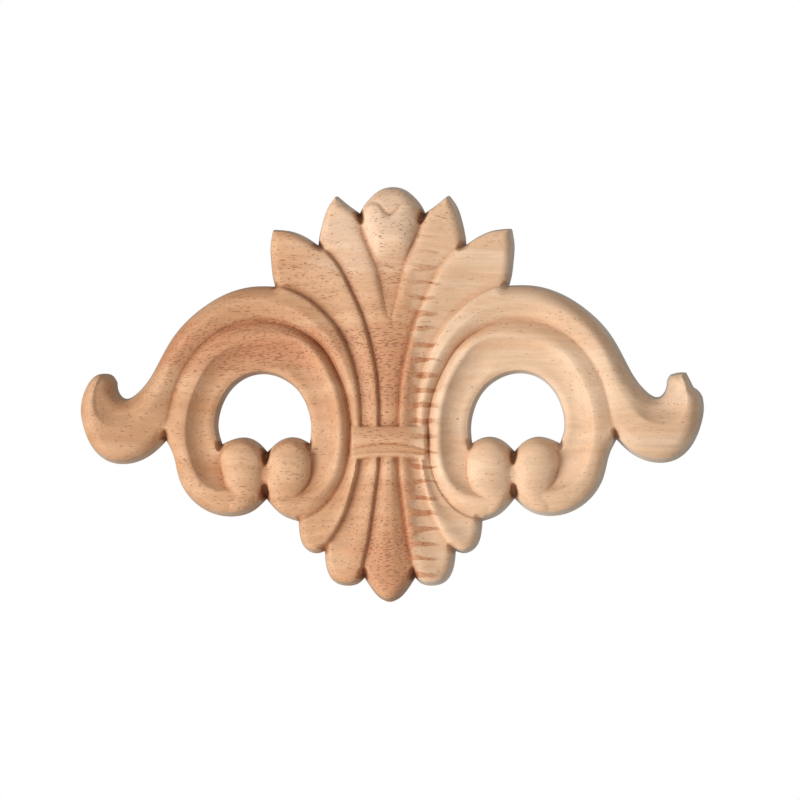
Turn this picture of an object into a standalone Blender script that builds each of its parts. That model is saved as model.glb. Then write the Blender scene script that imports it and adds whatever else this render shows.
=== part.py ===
"""Carved wooden applique: a leaf palmette held by a strap, a lobed shell below it and a scroll at each side.

Metres, +Z up. The piece stands upright, as it is fixed to a wall or a cabinet door: its flat back lies in the
plane y = 0 and its carved face looks along -Y. The origin is on the back, behind the middle of the strap.
The drawing below is in millimetres. It gives the right half, and the left half is its mirror image.
"""
import math

import bpy
import numpy as np
from mathutils import Vector
from mathutils.geometry import delaunay_2d_cdt

MM = 0.001
NODE = "applique"

# How the piece is made, in millimetres
WALL_FLARE = 0.85       # the sawn edge leans out by this much from the face to the back
HOLE_FLARE = 0.6        # and that of a hole by this much
EDGE_ROLL = 0.7         # the carved face rolls down by this much along its edge
EDGE_ROLL_WIDTH = 1.7
STEP_WIDTH = 0.8        # a cut step between two leaves is this wide
GROOVE_STEP = 0.5       # the groove round the ring changes sides over this width
LEAN = 0.007            # the carving leans this much to the right for each millimetre up

# Heights of the carving above the back, in millimetres
BUD_TOP = 9.9
BUD_STEM = 6.5
STEM_CREST = 7.1
STEM_SIDE = 6.4
BAND_CREST = 8.6
BAND_AT_LEAF = 7.7
GROOVE_INSIDE = 6.1      # the ring's groove is this high beside the strap
GROOVE_OUTSIDE = 7.3     # and this high beside the hook
RIDGE_CREST = 8.2
RIDGE_AT_EDGE = 6.7
BAND_AT_EDGE = 7.4
BALL_FOOT = 6.1

# Cross sections from one cut line to the next: share of the way, height
INNER_LEAF_SECTION = ((0.0, 0.1, 0.3, 0.6, 1.0), (6.6, 7.2, 7.5, 7.2, 6.3))
OUTER_LEAF_SECTION = ((0.0, 0.15, 0.5, 1.0), (7.5, 7.65, 7.15, 6.45))
OUTER_LOBE_SECTION = ((0.0, 0.45, 0.85, 1.0), (6.7, 7.0, 7.75, 7.6))
INNER_LOBE_SECTION = ((0.0, 0.45, 0.85, 1.0), (6.3, 6.65, 7.45, 7.3))
MIDDLE_LOBE_SECTION = ((0.0, 0.35, 0.65, 0.85, 1.0), (6.15, 6.8, 7.35, 7.55, 7.55))
RIDGE_SECTION = ((0.0, 0.2, 0.5, 0.8, 1.0), (0.0, 0.32, 0.79, 1.0, 0.93))     # share of its rise
CHANNEL_SECTION = ((0.0, 0.12, 0.3, 0.55, 0.8, 1.0), (8.05, 7.3, 6.55, 6.05, 6.05, 6.3))

# Outline of the right half on the back, stretch by stretch, with a corner where two stretches meet
BUD_EDGE = ((-7.9, 55.6), (-6.9, 57.5), (-5.5, 59.2), (-3.2, 61.1), (0.0, 61.9),
            (3.2, 61.1), (5.5, 59.2), (6.9, 57.5), (7.9, 55.6))
INNER_LEAF_EDGES = (((7.9, 55.6), (10.3, 57.3), (13.1, 59.6)),
                    ((13.1, 59.6), (13.7, 59.7), (14.1, 59.3)),
                    ((14.1, 59.3), (15.5, 57.3), (16.9, 53.4), (17.7, 49.7), (17.9, 47.9)))
OUTER_LEAF_EDGES = (((17.9, 47.9), (20.4, 49.6), (24.5, 51.3), (28.2, 51.7)),
                    ((28.2, 51.7), (28.8, 51.6), (29.0, 51.1)),
                    ((29.0, 51.1), (29.5, 47.6), (29.3, 43.8), (28.8, 39.9), (28.3, 38.0)))
BAND_EDGE = ((28.3, 38.0), (33.4, 38.0), (40.5, 36.1), (46.8, 32.2), (52.5, 26.4), (56.9, 18.7),
             (60.9, 12.9), (64.5, 11.1), (66.0, 12.9), (66.3, 14.9))
HOOK_TIP = ((66.3, 14.9), (67.6, 16.7), (69.4, 17.1), (71.4, 16.7), (73.3, 14.8), (74.9, 11.0))
CHIPPED_TIP = (((66.3, 14.9), (66.6, 15.7), (67.1, 16.4)),
               ((67.1, 16.4), (69.0, 16.9), (70.9, 16.9)),
               ((70.9, 16.9), (71.8, 15.2), (72.7, 13.4)),
               ((72.7, 13.4), (74.1, 12.3), (74.9, 11.0)))
HOOK_EDGE = ((74.9, 11.0), (75.2, 8.9), (74.5, 4.2), (72.4, -0.6), (68.6, -4.0), (64.6, -4.8), (60.9, -4.1),
             (57.2, -2.0), (54.3, 0.8))
RING_EDGE = ((54.3, 0.8), (52.7, -2.5), (51.2, -8.3), (47.3, -14.1), (43.0, -16.7), (38.4, -17.5),
             (33.4, -16.3), (29.9, -13.3))
BALL_EDGE = ((29.9, -13.3), (28.6, -14.9), (25.9, -17.3), (22.2, -18.7))
OUTER_LOBE_EDGE = ((22.2, -18.7), (21.9, -21.8), (20.6, -25.0), (17.8, -26.4), (15.8, -25.9))
INNER_LOBE_EDGE = ((15.8, -25.9), (15.4, -29.5), (13.4, -33.2), (10.2, -34.2), (7.5, -33.6), (6.1, -32.3))
MIDDLE_LOBE_EDGES = (((6.1, -32.3), (4.2, -35.2), (2.0, -37.4), (0.7, -38.0)),
                     ((0.7, -38.0), (0.0, -38.1), (-0.7, -38.0)),
                     ((-0.7, -38.0), (-2.0, -37.4), (-4.2, -35.2), (-6.1, -32.3)))

# The hole through each scroll, with a ball standing into it from below on either side
OUTER_BALL = (35.7, -4.4, 6.0)
INNER_BALL = (23.8, -4.3, 5.9)
BALL_NOTCH = (29.8, -1.9)
HOLE_ARCH = ((40.7, 0.0), (41.6, 3.0), (41.2, 8.0), (38.6, 13.1), (34.8, 16.0), (30.5, 16.8), (26.2, 15.6),
             (22.4, 12.6), (19.9, 7.6), (19.3, 3.2), (19.6, 0.1))

# Cut lines of the carving on the right half
BUD_CUT = ((8.3, 57.5), (7.5, 54.0), (5.8, 48.8), (3.9, 44.0), (2.45, 39.0), (1.25, 34.0), (0.3, 30.4))
LEAF_CUT = ((22.0, 51.5), (17.8, 47.9), (12.8, 42.6), (9.9, 37.1), (7.75, 32.6), (5.85, 27.4), (4.45, 22.3),
            (3.3, 16.6), (2.8, 11.4), (2.5, 0.0))
SCROLL_CUT = ((30.5, 37.9), (28.3, 37.7), (24.2, 36.7), (20.0, 34.5), (15.9, 31.0), (13.1, 27.7), (10.9, 23.9),
              (8.8, 18.2), (7.7, 13.6), (7.1, 9.0), (7.0, 0.0))
BAND_CREST_LINE = ((7.8, 0.0), (7.9, 7.0), (8.8, 13.0), (11.4, 20.0), (15.4, 26.2), (21.4, 31.2), (28.6, 33.8),
                   (36.0, 33.4), (42.6, 30.4), (48.2, 25.6), (52.2, 19.4), (54.0, 15.3), (57.1, 9.4),
                   (61.6, 5.1), (65.0, 4.1), (68.4, 4.6), (70.6, 6.8), (71.3, 10.0), (70.9, 13.4), (69.9, 15.9))
GROOVE = ((40.5, -18.6), (45.9, -16.4), (50.1, -11.6), (52.3, -5.4), (54.0, 0.8), (53.1, 6.8), (51.6, 12.9),
          (48.4, 19.5), (44.2, 24.4), (39.3, 27.6), (31.4, 29.4), (24.4, 28.2), (19.8, 25.9), (15.8, 22.3),
          (12.8, 17.2), (10.7, 12.2), (9.6, 7.0), (9.2, 0.4), (9.7, -4.2), (11.0, -9.0), (13.1, -12.8),
          (16.0, -16.0), (19.2, -17.8), (22.3, -18.8), (24.4, -19.6))
CHANNEL_EDGE = ((36.0, -11.6), (38.4, -11.8), (42.0, -11.2), (45.0, -9.4), (47.0, -5.9), (48.5, -1.2), (48.9, 4.4),
                (48.0, 9.6), (45.9, 15.0), (42.7, 19.8), (38.0, 23.1), (31.5, 24.9), (25.0, 24.9), (20.4, 23.1),
                (17.2, 19.2), (14.8, 14.9), (13.3, 10.4), (12.5, 5.6), (12.4, 0.8), (12.9, -4.4), (14.4, -8.5),
                (17.2, -11.6), (21.8, -13.2), (24.4, -13.3))
OUTER_LOBE_CUT = ((7.3, 0.0), (7.6, -5.5), (8.8, -11.2), (10.6, -17.0), (13.0, -21.6), (15.8, -25.6),
                  (18.0, -28.5))
INNER_LOBE_CUT = ((2.4, 0.0), (2.7, -6.5), (3.4, -12.4), (4.3, -19.0), (5.5, -26.0), (6.3, -30.0), (6.1, -32.6),
                  (5.8, -35.5))
LIP_CUT = ((0.0, 54.3), (1.0, 54.8), (2.2, 56.2), (3.2, 57.2), (4.9, 57.3), (6.6, 56.8))

# The stem below the leaves, and where the lobes end
STEM_TOP = 30.0         # the inner leaves turn into the stem round this height, over the blend
STEM_BLEND = 14.0
LOBES_REACH = 40.0

# The bud: a dome whose top is cut back behind a lip
BUD_CENTRE = 50.5
BUD_SIDE = 0.88         # the share of its rise that the dome loses at its side
BUD_REACH_UP = 12.1
BUD_REACH_DOWN = 8.0
BUD_ROUNDNESS = 0.85
BUD_FADE = 1.5          # the power of its fall towards the stem
BUD_TIP = 34.0          # its stem rises round this height, over the blend, and ends flush with the leaves
BUD_TIP_BLEND = 9.0
LIP_DROP = 0.6
LIP_WIDTH = 0.9
LIP_DEPTH = 0.25
LIP_GROOVE = 0.6
LIP_END = 5.4
LIP_FADE = 2.4

# The ring's groove rises round this distance from the axis, over the width
GROOVE_RISE = 40.0
GROOVE_RISE_WIDTH = 18.0

# The band is lower where it is narrow, and scooped inside the hook
BAND_FULL_WIDTH = 2.6   # half its width from which its crest has its full height
BAND_NARROWING = 2.2    # its crest would be this much lower at no width
SIDE_NARROWING = 1.0    # and its side by the leaf this much lower
HOOK_START = 60.0
HOOK_BLEND = 6.0
SCOOP_BLEND = 0.5
SCOOP_POWER = 1.5
FLANK_DROP = 1.0        # its outer flank falls this much further, from round this distance on
FLANK_START = 44.0
FLANK_BLEND = 16.0
BAND_ROLL = 1.1         # it rolls down by this much towards the outline, over this width
BAND_ROLL_WIDTH = 2.6
ROLL_POWER = 1.5

# Each end of the ring swells into a ball, from the ring to the ball: place, half width, height, roundness,
# height of the foot
CHANNEL_WIDTH = 7.0     # beyond the hole's reach the channel is this wide
SWELLING_SPACING = 0.25
OUTER_SWELLING = ((36.3, -14.2, 3.1, 8.1, 0.9, 7.0), (35.2, -11.9, 3.8, 8.5, 0.8, 6.7),
                  (35.0, -9.2, 4.5, 9.1, 0.65, 6.4), (35.1, -6.8, 5.0, 9.45, 0.55, BALL_FOOT),
                  (35.3, -4.4, 5.4, 9.6, 0.5, BALL_FOOT))
INNER_SWELLING = ((25.6, -14.4, 3.2, 8.1, 0.9, 7.0), (25.1, -12.0, 3.9, 8.5, 0.8, 6.7),
                  (24.5, -9.6, 4.8, 9.0, 0.65, 6.4), (24.1, -7.2, 5.3, 9.4, 0.55, BALL_FOOT),
                  (24.1, -4.6, 5.4, 9.6, 0.5, BALL_FOOT))
SADDLE = (29.8, -7.2, 7.5)      # between the balls: place, height
SADDLE_REACH = (3.0, 2.6)       # across and along, it is a millimetre lower at this distance
SADDLE_SOFTNESS = 0.6

# The strap: heights of its top and of its three lower lines at the middle, how far each line drops at the
# arch's distance from the axis, and how each fillet rises
STRAP_TOP = 3.85
STRAP_HALF_WIDTH = 9.0
STRAP_ARCH_AT = 7.0
UPPER_STRAP_GROOVE = (-0.25, 0.8)
LOWER_STRAP_GROOVE = (-2.0, 0.35)
STRAP_FOOT = (-3.45, 0.5)
STRAP_BASE = 7.95
STRAP_FALL = 0.35
STRAP_ROUNDNESS = 1.1
WIDE_FILLET = (0.7, 0.55)      # rise, and the power that draws its crest down
BEAD = (0.4, 1.0)
NARROW_FILLET = (0.4, 1.0)
STRAP_EDGE = 0.7
STRAP_END = 1.1

# Nicks of the cutter in the notches of the outline: the notch, the nick's inner end, half width, depth
NICKS = ((7.9, 55.6, 6.6, 52.2, 1.4, 5.5), (17.9, 47.9, 15.9, 45.9, 1.2, 4.0), (28.3, 38.0, 26.6, 37.4, 1.0, 2.4),
         (54.3, 0.8, 53.8, 3.6, 1.1, 4.4), (29.9, -13.3, 29.8, -9.4, 1.5, 5.0), (29.8, -1.9, 29.8, -5.6, 1.5, 5.0),
         (22.2, -18.7, 20.6, -17.2, 0.9, 1.8), (15.8, -25.9, 14.3, -23.9, 1.2, 3.0),
         (6.1, -32.3, 6.0, -29.5, 1.4, 4.0), (40.7, 0.0, 41.1, -2.1, 1.1, 3.2), (19.6, 0.1, 19.3, -2.0, 1.0, 3.2))
TINY = 1e-6

# How curves and distances are read
CURVE_STEPS = 24        # steps to each point of a curve, before it is read at an even spacing
ARC_POINTS = 5
MEASURE_BATCH = 4000    # points measured at a time
LEAST_GAP = 0.02        # a distance to a limit of the band counts at least this many millimetres
CORNER_TURN = 0.5       # an outline turns a corner where it turns by more than this, in radians
MITRE_LIMIT = 0.5
EDGE_SLACK = 0.03       # a point of the face's edge may lie this far outside it, in millimetres

# Spacing of the facets, in millimetres
EDGE_SPACING = 1.4
LINE_SPACING = 1.8
FILL_SPACING = 2.2
LINE_CLEARANCE = 1.0    # the fill stays this far from the carving's lines
LINE_MARGIN = 0.7       # the lines stop this far inside the edge of the face
FILL_MARGIN = 1.0       # and the fill this far inside it
FILL_HALF_WIDTH = 77.0
FILL_BOTTOM = -40.0
FILL_TOP = 64.0
MEASURE_SPACING = 0.6
RIDGE_LINES = (0.9, 0.0, -0.8)                  # beside the channel's edge, inside to outside
BALL_RINGS = ((0.5, 9), (0.95, 16))             # share of a ball's half width, points round it
STRAP_POINTS = 6
STRAP_MARGIN = 0.8
FAN_STEP = 0.7          # an inward corner's normals are this far apart, in radians

WOOD_COLOUR = (0.62, 0.39, 0.24, 1.0)
WOOD_ROUGHNESS = 0.62


# The drawing

def spline_bends(knots, values):
    """Second derivatives at the knots of the natural cubic spline through the values."""
    gaps = np.diff(knots)
    count = len(knots)
    matrix = np.eye(count)
    right = np.zeros((count,) + values.shape[1:])
    for i in range(1, count - 1):
        matrix[i, i - 1:i + 2] = (gaps[i - 1], 2.0 * (gaps[i - 1] + gaps[i]), gaps[i])
        rise = (values[i + 1] - values[i]) / gaps[i]
        right[i] = 6.0 * (rise - (values[i] - values[i - 1]) / gaps[i - 1])
    return np.linalg.solve(matrix, right)


def spline(knots, values, at):
    """The natural cubic spline through the values at the knots, read at the given places."""
    knots = np.asarray(knots, float)
    values = np.asarray(values, float)
    bends = spline_bends(knots, values)
    at = np.clip(at, knots[0], knots[-1])
    i = np.clip(np.searchsorted(knots, at, side="right") - 1, 0, len(knots) - 2)
    gap = knots[i + 1] - knots[i]
    a = (knots[i + 1] - at) / gap
    b = 1.0 - a
    if values.ndim == 2:
        a, b, gap = a[:, None], b[:, None], gap[:, None]
    curve = a * values[i] + b * values[i + 1]
    return curve + ((a**3 - a) * bends[i] + (b**3 - b) * bends[i + 1]) * gap**2 / 6.0


def smooth_curve(points, spacing):
    """A smooth curve through the points, read again at an even spacing along its length."""
    points = np.asarray(points, float)
    chords = np.concatenate([[0.0], np.cumsum(np.linalg.norm(np.diff(points[:, :2], axis=0), axis=1))])
    fine = spline(chords, points, np.linspace(0.0, chords[-1], CURVE_STEPS * len(points)))
    run = np.concatenate([[0.0], np.cumsum(np.linalg.norm(np.diff(fine[:, :2], axis=0), axis=1))])
    count = max(2, round(run[-1] / spacing) + 1)
    even = np.linspace(0.0, run[-1], count)
    return np.stack([np.interp(even, run, fine[:, k]) for k in range(points.shape[1])], axis=1)


def arc(circle, start, end):
    """The shorter arc of a circle (centre x, centre z, radius) between the rays through two points."""
    x, z, radius = circle
    first = math.atan2(start[1] - z, start[0] - x)
    last = math.atan2(end[1] - z, end[0] - x)
    turn = (last - first + math.pi) % (2.0 * math.pi) - math.pi
    angles = first + turn * np.linspace(0.0, 1.0, ARC_POINTS)
    return np.stack([x + radius * np.cos(angles), z + radius * np.sin(angles)], axis=1)


def mirrored(points):
    """The stretch on the other half, walked the other way."""
    return [(-p[0], p[1]) for p in reversed(points)]


def join_stretches(stretches, spacing):
    """One closed loop from stretches that meet at corners."""
    return np.concatenate([smooth_curve(stretch, spacing)[:-1] for stretch in stretches])


def outer_loop(spacing):
    """The outline of the back, clockwise as seen from the front."""
    upper = [*INNER_LEAF_EDGES, *OUTER_LEAF_EDGES, BAND_EDGE]
    lower = [HOOK_EDGE, RING_EDGE, BALL_EDGE, OUTER_LOBE_EDGE, INNER_LOBE_EDGE]
    right = [*upper, *CHIPPED_TIP, *lower]
    left = [*upper, HOOK_TIP, *lower]
    stretches = [BUD_EDGE, *right, *MIDDLE_LOBE_EDGES, *[mirrored(s) for s in reversed(left)]]
    return join_stretches(stretches, spacing)


def hole_loop(spacing):
    """The outline of the right scroll's hole on the back, counter-clockwise as seen from the front."""
    inner_ball = arc(INNER_BALL, HOLE_ARCH[-1], BALL_NOTCH)
    outer_ball = arc(OUTER_BALL, BALL_NOTCH, HOLE_ARCH[0])
    inner_ball[0] = HOLE_ARCH[-1]
    inner_ball[-1] = BALL_NOTCH
    outer_ball[0] = BALL_NOTCH
    outer_ball[-1] = HOLE_ARCH[0]
    return join_stretches([HOLE_ARCH, inner_ball, outer_ball], spacing)


def outline_loops(spacing):
    """The three loops of the outline: the outside, and the hole of each scroll."""
    hole = hole_loop(spacing)
    other = hole[::-1] * (-1.0, 1.0)
    return [outer_loop(spacing), hole, other]


def measure(x, z, line, closed=False):
    """Distance of each point from a line, positive on the left of the line's direction."""
    ends = np.roll(line, -1, axis=0) if closed else line[1:]
    starts = line if closed else line[:-1]
    along = ends - starts
    length = (along**2).sum(axis=1)
    distance = np.empty(len(x))
    for first in range(0, len(x), MEASURE_BATCH):
        part = slice(first, first + MEASURE_BATCH)
        dx = x[part, None] - starts[None, :, 0]
        dz = z[part, None] - starts[None, :, 1]
        share = np.clip((dx * along[:, 0] + dz * along[:, 1]) / length, 0.0, 1.0)
        gap = (dx - share * along[:, 0])**2 + (dz - share * along[:, 1])**2
        near = gap.argmin(axis=1)
        row = np.arange(len(near))
        side = along[near, 0] * dz[row, near] - along[near, 1] * dx[row, near]
        distance[part] = np.sqrt(gap[row, near]) * np.where(side < 0.0, -1.0, 1.0)
    return distance


def inside(x, z, loop):
    """Whether each point lies inside a closed loop."""
    ends = np.roll(loop, -1, axis=0)
    result = np.zeros(len(x), bool)
    for (x0, z0), (x1, z1) in zip(loop, ends):
        crosses = (z0 > z) != (z1 > z)
        if z0 != z1:
            result ^= crosses & (x < x0 + (z - z0) * (x1 - x0) / (z1 - z0))
    return result


def depth_in_face(x, z, loops):
    """Distance in from the edge of the carved face, negative on the sawn edge, in a hole or outside."""
    flares = [WALL_FLARE] + [HOLE_FLARE] * (len(loops) - 1)
    gaps = [np.abs(measure(x, z, loop, closed=True)) - flare for loop, flare in zip(loops, flares)]
    depth = np.min(gaps, axis=0)
    wood = inside(x, z, loops[0])
    for hole in loops[1:]:
        wood &= ~inside(x, z, hole)
    return np.where(wood, depth, -np.abs(depth))


def swell(value, width):
    """A smooth rise from 0 to 1 as a distance goes from -width/2 to +width/2."""
    t = np.clip(value / width + 0.5, 0.0, 1.0)
    return t * t * (3.0 - 2.0 * t)


def swept_round(x, z, path):
    """Share of the way out from a path of varying half width, and the path's other values where it is nearest."""
    share = np.full(len(x), np.inf)
    nearest = np.zeros(len(x), int)
    for number, (cx, cz, half) in enumerate(path[:, :3]):
        here = np.hypot(x - cx, z - cz) / half
        nearest = np.where(here < share, number, nearest)
        share = np.minimum(share, here)
    return share, *path[nearest, 3:].T


def section(shape, share):
    """Height of a cross section at a share of the way across it."""
    return spline(shape[0], shape[1], share)


def bud_height(x, z, across):
    """The bud: a dome with a folded lip, on a tapering stem.

    Across the bud the dome is 1 - side * across^3, where across goes from 0 at the axis to 1 at the bud's cut.
    Above the centre ((z - centre) / reach)^2 is taken off, and below it the dome fades by a power of
    1 - ((z - centre) / reach)^2. The lip's cut has a bell-shaped section, and the wood above it lies a little
    lower."""
    body = 1.0 - BUD_SIDE * across**3
    upper = np.clip(body - (np.maximum(z - BUD_CENTRE, 0.0) / BUD_REACH_UP)**2, 0.0, 1.0)**BUD_ROUNDNESS
    fall = np.clip((BUD_CENTRE - z) / BUD_REACH_DOWN, 0.0, 1.0)
    dome = upper * (1.0 - fall**2)**BUD_FADE
    stem = BUD_STEM + (STEM_CREST - BUD_STEM) * swell(BUD_TIP - z, BUD_TIP_BLEND)
    off_lip = measure(x, z, smooth_curve(LIP_CUT, MEASURE_SPACING))
    lip = -LIP_DROP * swell(off_lip, LIP_WIDTH) - LIP_DEPTH * np.exp(-(off_lip / LIP_GROOVE)**2)
    lip = lip * swell(LIP_END - x, LIP_FADE) * (z > BUD_CENTRE)
    return stem + (BUD_TOP - stem) * dome + lip


def groove_height(x):
    """How high the groove round the ring lies: low beside the strap, high beside the hook."""
    return GROOVE_INSIDE + (GROOVE_OUTSIDE - GROOVE_INSIDE) * swell(x - GROOVE_RISE, GROOVE_RISE_WIDTH)


def band_height(x, z, groove, scroll_cut, edge):
    """The scroll's band: a crest along it, falling to the groove, to the leaf and to the outer edge.

    The foot blends the three edges' heights by the inverse squares of their distances. The share of the way
    from the crest to the nearest edges gives a parabola, and inside the hook a hollow that is a power of the
    share left. The roll along the outline is a power too."""
    crest_line = smooth_curve(BAND_CREST_LINE, MEASURE_SPACING)
    off_crest = measure(x, z, crest_line)
    off = np.abs(off_crest) + TINY
    to_groove, to_leaf, to_edge = (np.abs(d) + LEAST_GAP for d in (groove, scroll_cut, edge))
    at_edge = BAND_AT_EDGE - FLANK_DROP * swell(x - FLANK_START, FLANK_BLEND) * (off_crest > 0.0)
    narrow = np.clip(1.0 - (to_groove + np.minimum(to_leaf, to_edge)) / (2.0 * BAND_FULL_WIDTH), 0.0, 1.0)
    at_leaf = BAND_AT_LEAF - SIDE_NARROWING * narrow
    limits = [(to_groove, groove_height(x)), (to_leaf, at_leaf), (to_edge, at_edge)]
    near = 1.0 / sum(1.0 / d for d, _ in limits)
    foot = sum(h / d**2 for d, h in limits) / sum(1.0 / d**2 for d, _ in limits)
    crest = BAND_CREST - BAND_NARROWING * narrow
    share = off / (off + near)
    rounded = 1.0 - share**2
    scooped = (1.0 - share)**SCOOP_POWER
    hook = swell(x - HOOK_START, HOOK_BLEND) * swell(off_crest, SCOOP_BLEND)
    into_band = np.clip((np.abs(edge) - WALL_FLARE) / BAND_ROLL_WIDTH, 0.0, 1.0)
    roll = BAND_ROLL * (1.0 - into_band)**ROLL_POWER
    return foot + (crest - foot) * (rounded + (scooped - rounded) * hook) - roll


def ring_height(x, z, groove, edge, hole):
    """The ring: a ridge inside the groove, a cove down to the hole, two balls and the saddle between them.

    The ridge is a section from the groove or the outline to the channel's edge, on a foot that blends the two
    by the inverse squares of their distances. The cove is a section from there to the hole. Each ball is
    (1 - share^2)^roundness across the path it swells along. The saddle is a paraboloid, joined by half of
    a + b + the root of (a - b)^2 + softness^2."""
    line = smooth_curve(CHANNEL_EDGE, MEASURE_SPACING)
    off_edge = np.abs(measure(x, z, line))
    by_groove = 1.0 / (groove + TINY)
    by_outline = 1.0 / (np.abs(edge) + TINY)
    outer = 1.0 / np.hypot(by_groove, by_outline)
    foot = RIDGE_AT_EDGE + (groove_height(x) - RIDGE_AT_EDGE) * (by_groove * outer)**2
    ridge = foot + (RIDGE_CREST - foot) * section(RIDGE_SECTION, outer / (outer + off_edge + TINY))
    width = np.minimum(off_edge + np.abs(hole), CHANNEL_WIDTH)
    channel = section(CHANNEL_SECTION, np.minimum(off_edge / (width + TINY), 1.0))
    height = np.where(inside(x, z, line), channel, ridge)
    for swelling in (OUTER_SWELLING, INNER_SWELLING):
        share, crest, roundness, base = swept_round(x, z, smooth_curve(swelling, SWELLING_SPACING))
        ball = base + (crest - base) * np.clip(1.0 - share**2, 0.0, 1.0)**roundness
        height = np.where(share < 1.0, np.maximum(ball, height), height)
    saddle = SADDLE[2] - ((x - SADDLE[0]) / SADDLE_REACH[0])**2 - ((z - SADDLE[1]) / SADDLE_REACH[1])**2
    return (height + saddle + np.hypot(height - saddle, SADDLE_SOFTNESS)) / 2.0


def strap_share(x, z):
    """1 on the strap and 0 off it, with a soft step round it."""
    foot = STRAP_FOOT[0] - STRAP_FOOT[1] * (x / STRAP_ARCH_AT)**2
    return swell(STRAP_TOP - z, STRAP_EDGE) * swell(z - foot, STRAP_EDGE) * swell(STRAP_HALF_WIDTH - x, STRAP_END)


def strap_height(x, z):
    """The strap: a wide fillet, a bead and a narrow fillet, parted by two grooves that arch up.

    Each is a half sine wave across, with its crest drawn down by a power of the share, on a base that falls
    as the square of the distance from the axis."""
    off = (x / STRAP_ARCH_AT)**2
    lines = (UPPER_STRAP_GROOVE, LOWER_STRAP_GROOVE, STRAP_FOOT)
    upper, lower, foot = (middle - drop * off for middle, drop in lines)
    top = np.full(len(x), STRAP_TOP)
    height = STRAP_BASE - STRAP_FALL * off
    fillets = ((upper, top, WIDE_FILLET), (lower, upper, BEAD), (foot, lower, NARROW_FILLET))
    for low, high, (rise, power) in fillets:
        share = np.clip((z - low) / (high - low), 0.0, 1.0)**power
        height = height + rise * np.maximum(np.sin(math.pi * share), 0.0)**STRAP_ROUNDNESS
    return height


def nick_depth(x, z):
    """How deep the cutter's nicks go: half of a cone on an ellipse, with its middle at each notch."""
    depth = np.zeros(len(x))
    for notch_x, notch_z, end_x, end_z, half_width, deep in NICKS:
        reach = math.hypot(end_x - notch_x, end_z - notch_z)
        along_x, along_z = (end_x - notch_x) / reach, (end_z - notch_z) / reach
        along = (x - notch_x) * along_x + (z - notch_z) * along_z
        across = (x - notch_x) * along_z - (z - notch_z) * along_x
        depth = np.maximum(depth, deep * (1.0 - np.hypot(along / reach, across / half_width)))
    return depth


def carving(right, z, loops):
    """Height of the carved face above the back on the right half, before its edge is rolled."""
    left_outline = outer_loop(MEASURE_SPACING) * (-1.0, 1.0)
    edge = measure(right, z, left_outline, closed=True)
    hole = measure(right, z, loops[1], closed=True)
    bud_cut, leaf_cut, scroll_cut, outer_cut, inner_cut = (
        measure(right, z, smooth_curve(cut, MEASURE_SPACING))
        for cut in (BUD_CUT, LEAF_CUT, SCROLL_CUT, OUTER_LOBE_CUT, INNER_LOBE_CUT))
    ring_loop = smooth_curve(GROOVE, MEASURE_SPACING)
    groove = measure(right, z, ring_loop, closed=True)
    groove = np.where(inside(right, z, ring_loop), np.abs(groove), -np.abs(groove))

    def between(first, second):
        return np.abs(first) / (np.abs(first) + np.abs(second) + TINY)

    inner_leaf = section(INNER_LEAF_SECTION, between(bud_cut, leaf_cut))
    stem = STEM_SIDE + (STEM_CREST - STEM_SIDE) * (1.0 - between(right, leaf_cut)**2)
    inner_leaf = inner_leaf + (stem - inner_leaf) * swell(STEM_TOP - z, STEM_BLEND)
    outer_leaf = section(OUTER_LEAF_SECTION, between(leaf_cut, scroll_cut))
    upper = bud_height(right, z, between(right, bud_cut))
    upper = upper + (inner_leaf - upper) * swell(bud_cut, STEP_WIDTH)
    upper = upper + (outer_leaf - upper) * swell(leaf_cut, STEP_WIDTH)
    band = band_height(right, z, groove, scroll_cut, edge)
    upper = upper + (band - upper) * swell(scroll_cut, STEP_WIDTH)

    lower = section(MIDDLE_LOBE_SECTION, between(inner_cut, right))
    inner_lobe = section(INNER_LOBE_SECTION, between(outer_cut, inner_cut))
    lower = lower + (inner_lobe - lower) * swell(inner_cut, STEP_WIDTH)
    outer_lobe = section(OUTER_LOBE_SECTION, between(groove, outer_cut))
    lower = lower + (outer_lobe - lower) * swell(outer_cut, STEP_WIDTH)

    height = np.where((z < 0.0) & (right < LOBES_REACH), lower, upper)
    ring = ring_height(right, z, np.maximum(groove, 0.0), edge, hole)
    height = height + (ring - height) * swell(groove, GROOVE_STEP)
    height = height + (strap_height(right, z) - height) * strap_share(right, z)
    return height - nick_depth(right, z)


def edge_roll(depth):
    """How far the face rolls down near its edge: a parabola that ends at the roll's width."""
    into_face = np.clip(depth / EDGE_ROLL_WIDTH, 0.0, 1.0)
    return EDGE_ROLL * (1.0 - into_face)**2


# The facets

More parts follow.
